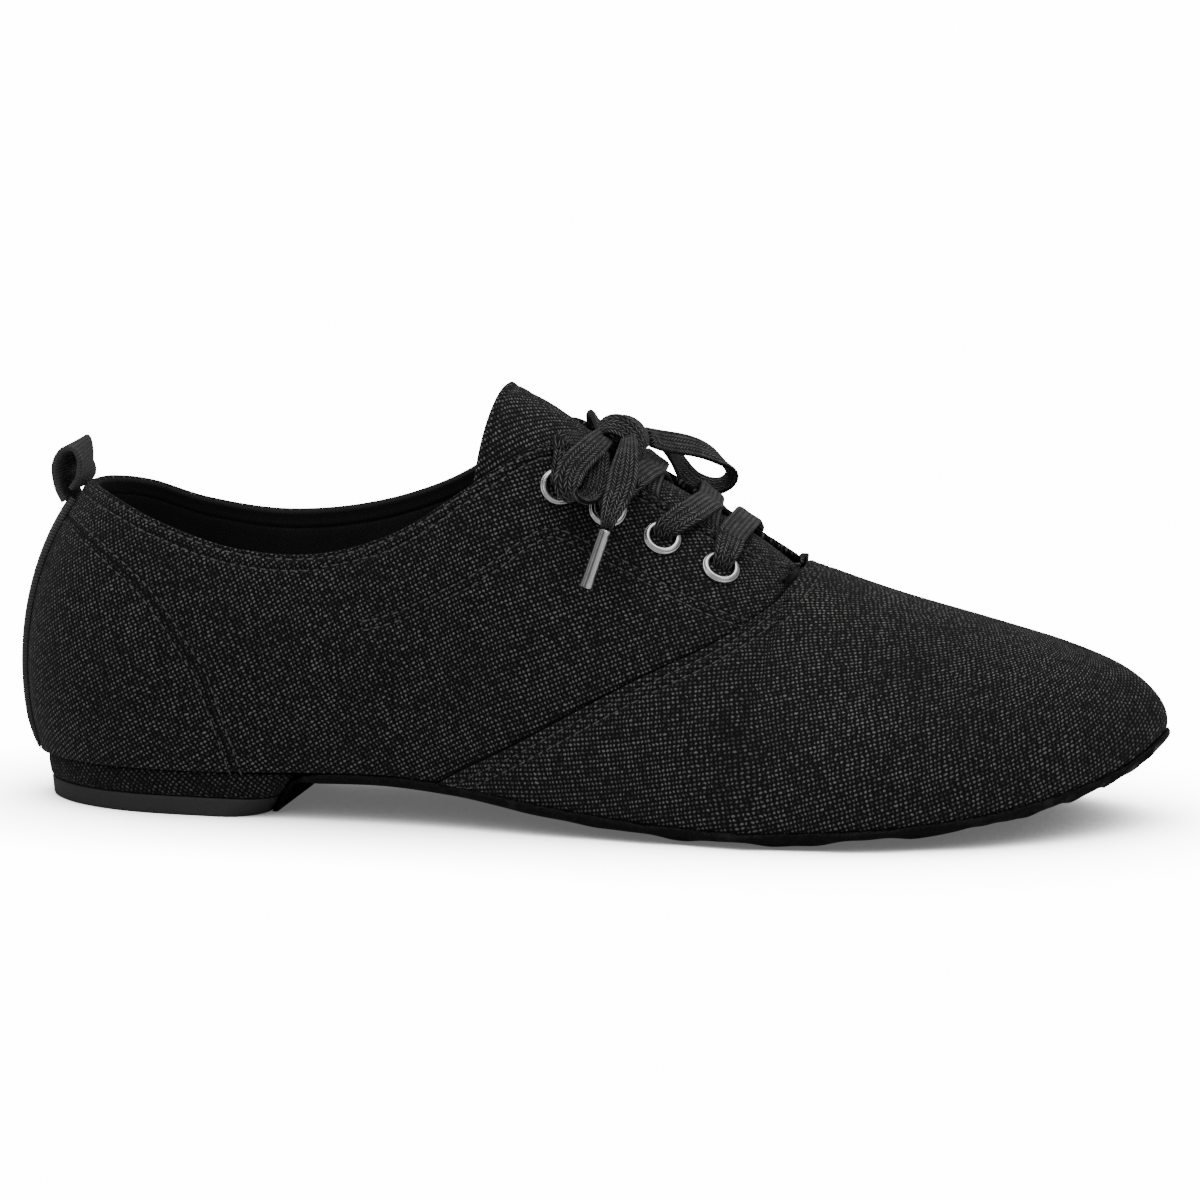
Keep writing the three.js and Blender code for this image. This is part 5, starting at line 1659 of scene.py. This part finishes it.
class Value:
    """A number in a shader that can be written into sums."""

    def __init__(self, paint: "Paint", socket: bpy.types.NodeSocket) -> None:
        """Wrap a socket of a paint's tree."""
        self.paint = paint
        self.socket = socket

    def maths(self, operation: str, *others: "Value | float") -> "Value":
        """Add a Math node on this value and others."""
        values = dict(enumerate((self, *others)))
        return self.paint.node("ShaderNodeMath", {"operation": operation}, values).value()

    def __add__(self, other: "Value | float") -> "Value":
        """Add."""
        return self.maths("ADD", other)

    __radd__ = __add__

    def __sub__(self, other: "Value | float") -> "Value":
        """Take away."""
        return self.maths("SUBTRACT", other)

    def __rsub__(self, other: float) -> "Value":
        """Take this away from a number."""
        return self.maths("MULTIPLY", -1.0) + other

    def __mul__(self, other: "Value | float") -> "Value":
        """Multiply."""
        return self.maths("MULTIPLY", other)

    __rmul__ = __mul__

    def __truediv__(self, other: "Value | float") -> "Value":
        """Divide."""
        return self.maths("DIVIDE", other)

    def __pow__(self, other: float) -> "Value":
        """Raise to a power."""
        return self.maths("POWER", other)

    def sine(self) -> "Value":
        """Take the sine of an angle in radians."""
        return self.maths("SINE")

    def size(self) -> "Value":
        """Drop the sign."""
        return self.maths("ABSOLUTE")

    def over(self, limit: float) -> "Value":
        """Give one where this is over a limit and nothing elsewhere."""
        return self.maths("GREATER_THAN", limit)

    def larger(self, other: "Value | float") -> "Value":
        """Take the larger of two."""
        return self.maths("MAXIMUM", other)

    def ramp(self, low: float, high: float) -> "Value":
        """Rise smoothly from nothing at low to one at high."""
        settings = {"interpolation_type": "SMOOTHSTEP", "clamp": True}
        values = {"Value": self, "From Min": low, "From Max": high}
        return self.paint.node("ShaderNodeMapRange", settings, values).value()

    def dent(self, at: float, width: float) -> "Value":
        """Give a soft bump of height one where this is near a number."""
        off = (self - at) / width
        return (1 - (off * off)).larger(0.0) ** 2.0


class Made:
    """A shader node just added."""

    def __init__(self, paint: "Paint", node: bpy.types.Node) -> None:
        """Keep the node and its paint."""
        self.paint = paint
        self.node = node

    def value(self, output: int | str = 0) -> Value:
        """Take an output as a number."""
        return Value(self.paint, self.node.outputs[output])

    def socket(self, output: int | str = 0) -> bpy.types.NodeSocket:
        """Take an output as it is."""
        return self.node.outputs[output]


class Paint:
    """One material and the nodes added to it."""

    def __init__(self, name: str) -> None:
        """Start a material with only its output."""
        self.material = bpy.data.materials.new(name)
        self.material.use_nodes = True
        self.tree = self.material.node_tree
        self.tree.nodes.clear()

    def node(self, kind: str, settings: dict | None = None, values: dict | None = None) -> Made:
        """Add a node of a type with its settings and the values or links of its inputs."""
        return Made(self, add_node(self.tree, kind, settings, values))

    def cloth(self) -> tuple:
        """Give the place along and across the cloth, in millimetres."""
        place = self.node("ShaderNodeUVMap", {"uv_map": "cloth"})
        split = self.node("ShaderNodeSeparateXYZ", values={0: place.socket()})
        return split.value("X") * CLOTH_SCALE, split.value("Y") * CLOTH_SCALE

    def place(self) -> bpy.types.NodeSocket:
        """Give the place on the object, in metres."""
        return self.node("ShaderNodeTexCoord").socket("Object")

    def layer(self, name: str) -> Value:
        """Read a layer of numbers over the piece."""
        return self.node("ShaderNodeAttribute", {"attribute_name": name}).value("Fac")

    def noise(self, per_metre: float, detail: float = 2.0, rough: float = 0.5) -> Value:
        """Give a noise from nothing to one on the object's place."""
        values = {"Vector": self.place(), "Scale": per_metre, "Detail": detail, "Roughness": rough}
        return self.node("ShaderNodeTexNoise", values=values).value("Fac")

    def chance(self, across: Value, along: Value) -> Value:
        """Give each whole place its own number from nothing to one."""
        place = self.node("ShaderNodeCombineXYZ", values={"X": across, "Y": along}).socket()
        return self.node("ShaderNodeTexWhiteNoise", {"noise_dimensions": "2D"}, {0: place}).value("Value")

    def flow(self, across: Value, along: Value, detail: float = 1.0) -> Value:
        """Give a noise on two numbers."""
        place = self.node("ShaderNodeCombineXYZ", values={"X": across, "Y": along})
        values = {"Vector": place.socket(), "Scale": 1.0, "Detail": detail}
        return self.node("ShaderNodeTexNoise", values=values).value("Fac")

    def blend(self, share: Value | float, first: tuple, second: tuple) -> bpy.types.NodeSocket:
        """Mix two colours."""
        values = {"Factor": share, 6: first, 7: second}
        return self.node("ShaderNodeMix", {"data_type": "RGBA"}, values).socket(2)

    def bump(
        self, height: Value, depth: float, before: bpy.types.NodeSocket | None = None
    ) -> bpy.types.NodeSocket:
        """Turn a height into a normal.

        Args:
            height: The height, from nothing to one.
            depth: What one stands for, in millimetres.
            before: A normal that this one adds to.

        Returns:
            The normal.
        """
        values = {"Height": height, "Distance": depth * MM, "Strength": 1.0}
        if before is not None:
            values["Normal"] = before
        return self.node("ShaderNodeBump", values=values).socket()

    def close(
        self, colour: bpy.types.NodeSocket, roughness: Value | float, **sockets: object
    ) -> bpy.types.Material:
        """Finish the material.

        Args:
            colour: Its base colour.
            roughness: Its roughness.
            sockets: Any other of the shader's sockets, with underscores for spaces.

        Returns:
            The material.
        """
        values = {"Base Color": colour, "Roughness": roughness}
        values.update({key.replace("_", " "): value for key, value in sockets.items()})
        shader = self.node("ShaderNodeBsdfPrincipled", values=values)
        out = self.node("ShaderNodeOutputMaterial")
        self.tree.links.new(shader.socket(), out.node.inputs["Surface"])
        return self.material


def grey(level: float, warm: float = 0.0) -> tuple:
    """Give a grey of a linear level, a little warm or cool."""
    return (level * (1 + warm), level, level * (1 - warm), 1.0)


@dataclass(frozen=True)
class Canvas:
    """Black cotton canvas: a plain weave whose upper threads catch the light."""

    name: str
    dark: float = 0.006
    light: float = 0.16
    pitch: float = 0.68
    turn: float = 15.0
    depth: float = 0.12
    rows: tuple = ()
    joints: tuple = ()
    sheen: float = 0.12

    def make(self) -> bpy.types.Material:
        """Make the canvas, with a dent along each row of stitches darkened there as painted shade, and a dark
        line along each joint and shadow line, the one beside the vamp's edge being a painted shadow.
        """
        paint = Paint(self.name)
        along, across = paint.cloth()
        drift = paint.noise(110.0, 3.0) - 0.5
        waver = paint.noise(700.0, 2.0) - 0.5
        cos, sin = math.cos(math.radians(self.turn)), math.sin(math.radians(self.turn))
        warp = along * cos + across * sin + drift * 1.6 + waver * 0.95
        weft = across * cos - along * sin - drift * 1.3 - waver * 0.8
        step = math.pi / self.pitch
        cell = (warp * step).sine() * (weft * step).sine()
        crown = cell.size() ** 0.8
        top = cell.over(0.0)
        slub = paint.flow(warp * 1.5, weft * 0.3) * 0.5 + paint.flow(warp * 0.3, weft * 1.5) * 0.5
        float_at = ((warp / self.pitch).maths("FLOOR"), (weft / self.pitch).maths("FLOOR"))
        own = 0.2 + 1.5 * paint.chance(*float_at)
        height = crown * (0.35 + 0.65 * top) * (0.6 + 0.8 * slub)
        patch = paint.noise(42.0, 4.0, 0.65)
        lit = (crown * (0.14 + 0.86 * top) * (0.1 + 1.8 * slub)).ramp(0.12, 1.0) * own * (0.1 + 1.3 * patch)
        dents = self.lines(paint, self.rows, 0.8)
        dark = self.lines(paint, self.joints, 0.55)
        # Painted shade: the cloth is darkened along the dents that the stitch rows pull in.
        if dents is not None:
            lit = lit * (1 - 0.5 * dents)
        # Dark lines: the counter seam's joint is dark in itself; the line beside the vamp's raised edge is
        # painted shadow.
        if dark is not None:
            lit = lit * (1 - 0.95 * dark)
        colour = paint.blend(lit, grey(self.dark), grey(self.light, 0.01))
        normal = paint.bump(height, self.depth)
        if dents is not None:
            normal = paint.bump(1 - dents, 0.2, normal)
        if dark is not None:
            normal = paint.bump(1 - dark, 0.5, normal)
        return paint.close(
            colour,
            0.8 + 0.15 * patch,
            Normal=normal,
            Sheen_Weight=self.sheen,
            Sheen_Roughness=0.5,
            Sheen_Tint=grey(0.4),
            Specular_IOR_Level=0.08,
        )

    @staticmethod
    def lines(paint: Paint, rows: tuple, width: float) -> "Value | None":
        """Mark where the cloth is near any of some rows."""
        marks = None
        for row in rows:
            mark = paint.layer(row.layer).dent(row.away, width)
            marks = mark if marks is None else marks.larger(mark)
        return marks


@dataclass(frozen=True)
class LiningCloth:
    """Thin dark lining cloth with a fine twill."""

    name: str = "lining_cloth"
    level: float = 0.02

    def make(self) -> bpy.types.Material:
        """Make the lining."""
        paint = Paint(self.name)
        along, across = paint.cloth()
        twill = ((along + across * 0.8) * 9.0).sine() * 0.5 + 0.5
        patch = paint.noise(45.0, 3.0)
        colour = paint.blend(twill * 0.5 + patch * 0.5, grey(self.level * 0.5), grey(self.level * 2.2))
        return paint.close(
            colour, 0.85, Normal=paint.bump(twill, 0.05), Sheen_Weight=0.1, Specular_IOR_Level=0.08
        )


@dataclass(frozen=True)
class SoleLeather:
    """Thin black sole leather with a fine grain, scuffed a little at its edge, with painted shade in the
    troughs of its folds.
    """

    name: str = "sole_leather_black"
    level: float = 0.006
    gloss: float = 0.4
    cells: float = 1500.0

    def make(self) -> bpy.types.Material:
        """Make the leather."""
        paint = Paint(self.name)
        places = {"Vector": paint.place(), "Scale": self.cells}
        edges = {"feature": "DISTANCE_TO_EDGE"}
        cells = paint.node("ShaderNodeTexVoronoi", edges, places).value("Distance")
        grain = cells.ramp(0.0, 0.35)
        fold = paint.noise(330.0, 3.0, 0.6)
        wear = paint.noise(120.0, 4.0, 0.65).ramp(0.52, 0.72)
        # The fold noise that ripples the leather also darkens its troughs: painted shade.
        lit = (wear * 0.5 + grain * 0.2) * fold.ramp(0.35, 0.65)
        colour = paint.blend(lit, grey(self.level * 0.3), grey(self.level * 5.0, 0.02))
        normal = paint.bump(grain, 0.03)
        normal = paint.bump(fold, 0.8, normal)
        return paint.close(colour, self.gloss + 0.25 * wear, Normal=normal, Specular_IOR_Level=0.1)


@dataclass(frozen=True)
class TopRubber:
    """Dark grey rubber of the heel's top piece, satin and a little dusty."""

    name: str = "heel_rubber_grey"
    level: float = 0.045

    def make(self) -> bpy.types.Material:
        """Make the rubber."""
        paint = Paint(self.name)
        dust = paint.noise(220.0, 4.0, 0.6)
        specks = paint.noise(2600.0, 1.0)
        colour = paint.blend(dust * 0.6, grey(self.level * 0.85), grey(self.level * 1.35))
        return paint.close(
            colour, 0.5 + 0.2 * dust, Normal=paint.bump(specks, 0.03), Specular_IOR_Level=0.15
        )


@dataclass(frozen=True)
class RibTape:
    """Woven black tape with fine ribs across it and a firm edge."""

    name: str = "ribbed_tape"
    half: float = 7.5
    rib: float = 0.75

    def make(self) -> bpy.types.Material:
        """Make the tape."""
        paint = Paint(self.name)
        across, along = paint.cloth()
        rib = (along * (2 * math.pi / self.rib)).sine() * 0.5 + 0.5
        knit = ((across * 5.2).sine() * (along * 8.4).sine()) * 0.5 + 0.5
        edge = across.size().ramp(self.half - 1.6, self.half - 1.3)
        tone = rib * 0.55 + knit * 0.45
        lit = tone * (0.5 + 0.5 * edge) * (0.6 + 0.8 * paint.noise(400.0, 2.0))
        colour = paint.blend(lit, grey(0.008), grey(0.11))
        normal = paint.bump(rib * 0.7 + knit * 0.3, 0.14)
        return paint.close(colour, 0.8, Normal=normal, Sheen_Weight=0.12, Specular_IOR_Level=0.12)


@dataclass(frozen=True)
class Braid:
    """Flat black braid: columns of slanting strands that meet in points."""

    name: str = "lace_braid_black"
    width: float = 6.5
    columns: int = 6
    strand: float = 1.05

    def make(self) -> bpy.types.Material:
        """Make the braid."""
        paint = Paint(self.name)
        along, across = paint.cloth()
        column = across * (self.columns / self.width) + 0.5 * self.columns
        index = column.maths("FLOOR")
        part = column - index
        turned = (index * math.pi + math.pi / 2).sine()
        slant = (part - 0.5) * turned * 1.5
        strand = ((along / self.strand + slant) * (2 * math.pi)).sine() * 0.5 + 0.5
        round_off = ((part * math.pi).sine()) ** 0.6
        height = (strand ** 0.7) * round_off
        slub = paint.noise(700.0, 2.0)
        fold = paint.noise(90.0, 2.0)
        # Painted light: the raised strands are lit, and the fold noise lays broad painted light and shade
        # along the lace.
        lit = (height * (0.2 + 1.5 * slub)).ramp(0.3, 1.05) * (0.2 + 1.4 * fold)
        colour = paint.blend(lit, grey(0.005), grey(0.17, 0.01))
        normal = paint.bump(height, 0.2)
        return paint.close(
            colour, 0.7, Normal=normal, Sheen_Weight=0.12, Sheen_Roughness=0.4, Specular_IOR_Level=0.12
        )


@dataclass(frozen=True)
class Thread:
    """Twisted black sewing thread."""

    name: str = "sewing_thread"

    def make(self) -> bpy.types.Material:
        """Make the thread."""
        paint = Paint(self.name)
        twist = paint.noise(2400.0, 1.0)
        colour = paint.blend(twist, grey(0.02), grey(0.15, 0.01))
        return paint.close(colour, 0.6, Normal=paint.bump(twist, 0.05), Specular_IOR_Level=0.2)


@dataclass(frozen=True)
class PlatedSteel:
    """Bright plated metal with fine scratches, a cloudy tone, and dark stripes of painted reflection round it
    when given a count of bands.
    """

    name: str
    level: float = 0.72
    shine: float = 0.16
    reflection_bands: float = 0.0

    def make(self) -> bpy.types.Material:
        """Make the metal."""
        paint = Paint(self.name)
        cloud = paint.noise(500.0, 3.0)
        scratch = paint.noise(3500.0, 1.0)
        around = paint.cloth()[0]
        # Painted reflection: dark stripes round the tube stand in for dark parts of the surroundings mirrored
        # in the metal.
        painted_reflection = (around * self.reflection_bands).sine().ramp(-0.2, 0.8)
        colour = paint.blend(cloud * 0.2 + painted_reflection * 0.8, grey(self.level), grey(self.level * 0.12))
        return paint.close(
            colour, self.shine + 0.14 * cloud, Metallic=1.0, Normal=paint.bump(scratch, 0.008)
        )


@dataclass(frozen=True)
class PaleFloor:
    """The plain pale floor: overexposed to the eye, with painted shade under the shoe from ambient occlusion
    in its glow.
    """

    name: str = "pale_floor"
    level: float = 0.8
    white: float = 15.0
    shade: float = 2.6
    reach: float = 0.05

    def make(self) -> bpy.types.Material:
        """Make the floor's finish."""
        paint = Paint(self.name)
        cover = paint.node("ShaderNodeAmbientOcclusion", {"samples": 12}, {"Distance": self.reach})
        # Painted shadow: ambient occlusion darkens the glow that the camera sees under and beside the shoe.
        tone = paint.blend(cover.value("AO") ** self.shade, grey(0.008), grey(1.0))
        seen = paint.node("ShaderNodeEmission", values={"Color": tone, "Strength": self.white})
        real = paint.node("ShaderNodeBsdfDiffuse", values={"Color": grey(self.level)})
        eye = paint.node("ShaderNodeLightPath").value("Is Camera Ray")
        both = paint.node("ShaderNodeMixShader", values={0: eye, 1: real.socket(), 2: seen.socket()})
        out = paint.node("ShaderNodeOutputMaterial")
        paint.tree.links.new(both.socket(), out.node.inputs["Surface"])
        return paint.material


@dataclass
class Studio:
    """The photograph's viewing angle, a pale floor and soft light."""

    azimuth: float = 10.0
    elevation: float = 8.0
    distance: float = 1100.0
    lens: float = 146.9
    target: tuple = (98.45, 0.0, 46.9)
    ambient: float = 0.22
    mirrored: float = 0.25
    # Each lamp: name, place, size and power.
    lamps: tuple = (
        ("overhead", (0.1, -0.1, 1.3), (1.4, 1.0), 11.0),
        ("front_left", (-0.9, -1.2, 0.75), (0.9, 0.9), 3.5),
        ("front_right", (1.2, -0.9, 0.8), (0.7, 0.9), 3.5),
    )

    def axes(self) -> tuple:
        """Give the camera's right, up and back directions."""
        turn, rise = math.radians(self.azimuth), math.radians(self.elevation)
        back = np.array([math.sin(turn) * math.cos(rise), -math.cos(turn) * math.cos(rise), math.sin(rise)])
        right = np.array([math.cos(turn), math.sin(turn), 0.0])
        return right, np.cross(back, right), back

    def camera(self) -> bpy.types.Object:
        """Place the camera."""
        right, up, back = self.axes()
        eye = bpy.data.cameras.new("camera")
        eye.lens = self.lens
        eye.sensor_width = 36.0
        eye.clip_start = 0.05
        eye.clip_end = 50.0
        camera = bpy.data.objects.new("camera", eye)
        bpy.context.scene.collection.objects.link(camera)
        spot = (np.array(self.target) + back * self.distance) * MM
        turned = np.stack([right, up, back, spot], axis=1)
        camera.matrix_world = Matrix([*turned.tolist(), [0, 0, 0, 1]])
        bpy.context.scene.camera = camera
        return camera

    def light(self, name: str, spot: tuple, size: tuple, watts: float) -> bpy.types.Object:
        """Hang a soft light that looks at the shoe."""
        lamp = bpy.data.lights.new(name, "AREA")
        lamp.shape = "RECTANGLE"
        lamp.size, lamp.size_y = size
        lamp.energy = watts
        holder = bpy.data.objects.new(name, lamp)
        bpy.context.scene.collection.objects.link(holder)
        aim = Vector(np.array(self.target) * MM) - Vector(spot)
        holder.matrix_world = Matrix.Translation(spot) @ aim.to_track_quat("-Z", "Y").to_matrix().to_4x4()
        return holder

    def floor(self) -> bpy.types.Object:
        """Lay the floor."""
        reach = 4.0
        mesh = bpy.data.meshes.new("floor")
        corners = [(x * reach, y * reach, 0) for x, y in ((-1, -1), (1, -1), (1, 1), (-1, 1))]
        mesh.from_pydata(corners, [], [(0, 1, 2, 3)])
        sheet = bpy.data.objects.new("floor", mesh)
        bpy.context.scene.collection.objects.link(sheet)
        sheet.data.materials.append(PaleFloor().make())
        return sheet

    def surround(self) -> bpy.types.World:
        """Make the bright surround: white to the eye, mild in its light."""
        world = bpy.data.worlds.new("studio")
        world.use_nodes = True
        tree = world.node_tree
        kind = tree.nodes.new("ShaderNodeLightPath")
        level = None
        for output, strength in (("Is Glossy Ray", self.mirrored), ("Is Camera Ray", PaleFloor.white)):
            part = tree.nodes.new("ShaderNodeMath")
            part.operation = "MULTIPLY_ADD"
            tree.links.new(kind.outputs[output], part.inputs[0])
            part.inputs[1].default_value = strength
            if level is None:
                part.inputs[2].default_value = self.ambient
            else:
                tree.links.new(level, part.inputs[2])
            level = part.outputs[0]
        tree.links.new(level, tree.nodes["Background"].inputs["Strength"])
        tree.nodes["Background"].inputs["Color"].default_value = (1, 1, 1, 1)
        return world

    def set_up(self) -> None:
        """Build the studio."""
        self.floor()
        for lamp in self.lamps:
            self.light(*lamp)
        bpy.context.scene.world = self.surround()


class Slot(Enum):
    """Names of material slots."""

    UPPER = "canvas_upper"
    TONGUE = "canvas_tongue"
    INSOLE = "insole_cloth"
    SOLE = "sole_leather"
    BLOCK = "heel_cover"
    LIFT = "heel_rubber"
    TAPE = "tape"
    RING = "eyelet_metal"
    LACE = "lace_braid"
    AGLET = "aglet_metal"


def dress(piece: bpy.types.Object, material: bpy.types.Material) -> bpy.types.Object:
    """Give a piece its main material."""
    piece.data.materials.clear()
    piece.data.materials.append(material)
    return piece


def face_inside(piece: bpy.types.Object, material: bpy.types.Material) -> bpy.types.Object:
    """Give the faces of the collar that look into the shoe another material."""
    piece.data.materials.append(material)
    for face in piece.data.polygons:
        if face.center.x > COLLAR_END:
            continue
        outward = np.array(face.center) - INSIDE
        outward[0] = min(outward[0], 0.0)
        if np.dot(np.array(face.normal), outward) < -1e-4:
            face.material_index = 1
    return piece


# Metres: how far along the shoe the collar's lining shows, and a place inside the heel.
COLLAR_END = 0.066
INSIDE = np.array([0.0, 0.0, 0.045])


def declare_cord(
    path: np.ndarray
) -> None:
    """Turn a free stretch of lace's points into metres, and keep nothing."""
    tuple(path[0] * MM)
    (path * MM).tolist()


@dataclass
class Shoe:
    """The whole shoe: builds its sub-assemblies in order and dresses them."""

    last: Last = field(default_factory=Last)

    def __post_init__(self) -> None:
        """Set up the sub-assemblies on one last."""
        self.upper = Upper(self.last)
        self.sole = SoleUnit(self.last)
        self.tongue = Tongue(self.last)
        self.tape = HeelTape(self.last)
        self.lacing = Lacing(self.last, self.upper, self.tongue)
        self.thread = Thread().make()

    def bow(self) -> None:
        """Make the bow: its knot, two loops and two ends with their aglets."""
        braid = Braid().make()
        metal = PlatedSteel("aglet_steel", 0.7, 0.22, 3.0).make()
        lacing = self.lacing
        loops = (
            ("outer", OUTER_LOOP, (4.4, 5.8, 6.4, 6.4, 6.2, 5.6, 5.6, 5.2, 4.4)),
            ("inner", INNER_LOOP, (5.0, 6.2, 6.4, 6.2, 5.8, 5.6, 6.2, 6.0, 5.0)),
        )
        for side, route, widths in loops:
            piece, path = lacing.free(f"bow_loop_{side}", route, widths, 96)
            ride(dress(piece, braid), Slot.LACE.value, f"lace_loop_{side}")
            declare_cord(path)
        ends = (
            ("outer", OUTER_END, OUTER_AGLET_TIP, (3.2, 4.8, 6.4, 6.2, 5.0, 2.7)),
            ("inner", INNER_END, INNER_AGLET_TIP, (4.6, 6.0, 6.6, 6.4, 5.6, 3.0)),
        )
        for side, route, tip, widths in ends:
            piece, path = lacing.free(f"lace_tail_{side}", route, widths, 72)
            ride(dress(piece, braid), Slot.LACE.value, f"lace_end_{side}")
            tag = lacing.aglet(f"tip_{side}", path[-1], tip)
            ride(dress(tag, metal), Slot.AGLET.value, f"aglet_{side}")
            declare_cord(path)
        ride(dress(lacing.knot(), braid), Slot.LACE.value, "lace_knot")

    def lace_up(self) -> None:
        """Make the eyelets and the lace over the tongue."""
        braid = bpy.data.materials["lace_braid_black"]
        lacing = self.lacing
        ride(dress(lacing.bar(), braid), Slot.LACE.value, "lace_bar")
        for number in (1, 2):
            strands = [lacing.crossing(side, number) for side in Side]
            crossing = join(f"crossing_{number}", strands)
            ride(dress(crossing, braid), Slot.LACE.value, f"lace_crossing_{number}")
        tie = join("half_knot", [lacing.tie(side) for side in Side])
        ride(dress(tie, braid), Slot.LACE.value, "lace_tie")
        rings = dress(lacing.eyelets(), PlatedSteel("eyelet_nickel", 0.6, 0.16).make())
        nodes = [f"eyelet_{side}_{number}" for side in ("outer", "inner") for number in (1, 2, 3, 4)]
        ride(rings, Slot.RING.value, *nodes)

    def uppers(self) -> None:
        """Make the quarters, vamp, lining and their stitches."""
        upper = self.upper
        sewn = {"collar": upper.collar_rows, "counter": upper.counter_rows, "facing": upper.facing_rows}
        quarter_rows = tuple(Row(layer, away) for layer, rows in sewn.items() for away in rows)
        # A dark joint line at the counter seam, and a painted shadow on the quarter just beside the vamp's
        # raised edge.
        joints = (Row("counter", 0.0), Row("vamp", 0.2))
        canvas = Canvas("quarter_canvas", rows=quarter_rows, joints=joints).make()
        vamp_rows = tuple(Row("edge", away) for away in upper.vamp_rows)
        # The vamp's canvas is set a little lighter than the quarters': painted light from above on the same
        # cloth.
        vamp_canvas = Canvas("vamp_canvas", dark=0.008, light=0.17, turn=32.0, rows=vamp_rows).make()
        inner_cloth = LiningCloth().make()
        quarters = face_inside(dress(upper.quarters(), canvas), inner_cloth)
        ride(quarters, Slot.UPPER.value, "upper")
        vamp = ride(dress(upper.vamp(), vamp_canvas), Slot.UPPER.value)
        ride(dress(upper.lining(), inner_cloth), Slot.INSOLE.value)
        stitcher = Stitcher(self.thread)
        rows = []
        for side in Side:
            for seam, aways in ((COUNTER_SEAM, upper.counter_rows), (FACING_SEAM, upper.facing_rows)):
                line = upper.seam(side, seam)
                rows += [stitcher.snapped(line.shifted(away), quarters) for away in aways]
        rows += [stitcher.snapped(self.collar_line(away), quarters) for away in upper.collar_rows]
        edge = upper.vamp_edge_line()
        rows += [stitcher.snapped(edge.shifted(-away), vamp) for away in upper.vamp_rows]
        ride(stitcher.sew("upper_stitches", rows), Slot.UPPER.value)

    def collar_line(self, away: float) -> Line:
        """Draw a line a distance under the top line of the quarters, from throat to throat."""
        ribs = np.linspace(-THROAT + 0.1, THROAT - 0.1, 520)
        shares = self.upper.from_top(ribs, np.full((len(ribs), 1), away))[:, 0]
        return Line(self.last.point(ribs, shares), self.last.normal(ribs, shares))

    def foot(self) -> None:
        """Make the sole, heel and insole."""
        sole = self.sole
        leather = SoleLeather().make()
        ride(dress(sole.outsole(), leather), Slot.SOLE.value, "outsole")
        cover = Canvas("heel_cover_canvas", light=0.1, turn=8.0).make()
        low, high = sole.lift + sole.gap, self.last.heel_seat - sole.gap
        block = sole.heel_layer("heel_cover", low, high, 0.5, 0.25)
        ride(dress(block, cover), Slot.BLOCK.value, "heel_block")
        lift = sole.heel_layer("heel_top_piece", 0.0, sole.lift, 0.45, 0.0)
        ride(dress(lift, TopRubber().make()), Slot.LIFT.value, "heel_lift")
        sock = Canvas("sock_cloth", dark=0.005, light=0.05, turn=0.0).make()
        ride(dress(sole.insole_board(), sock), Slot.INSOLE.value, "insole")

    def tongue_and_tape(self) -> None:
        """Make the tongue and the heel's tape."""
        tongue = self.tongue
        rows = (Row("edge", tongue.hem_row),)
        # The tongue's canvas is set lighter than the quarters': painted light from above on the same cloth.
        canvas = Canvas("tongue_canvas", dark=0.008, light=0.19, turn=5.0, rows=rows).make()
        ride(dress(tongue.sheet(), canvas), Slot.TONGUE.value, "tongue")
        tape = RibTape().make()
        ride(dress(self.tape.strip(), tape), Slot.TAPE.value, "back_strip")
        ride(dress(self.tape.loop(), tape), Slot.TAPE.value, "pull_loop")


def main() -> None:
    """Build the shoe and its studio."""
    logging.basicConfig(level=logging.INFO, format="%(name)s: %(message)s")
    studio = Studio()
    studio.camera()
    shoe = Shoe()
    shoe.bow()
    shoe.lace_up()
    shoe.uppers()
    shoe.foot()
    shoe.tongue_and_tape()
    studio.set_up()


if __name__ == "__main__":
    main()
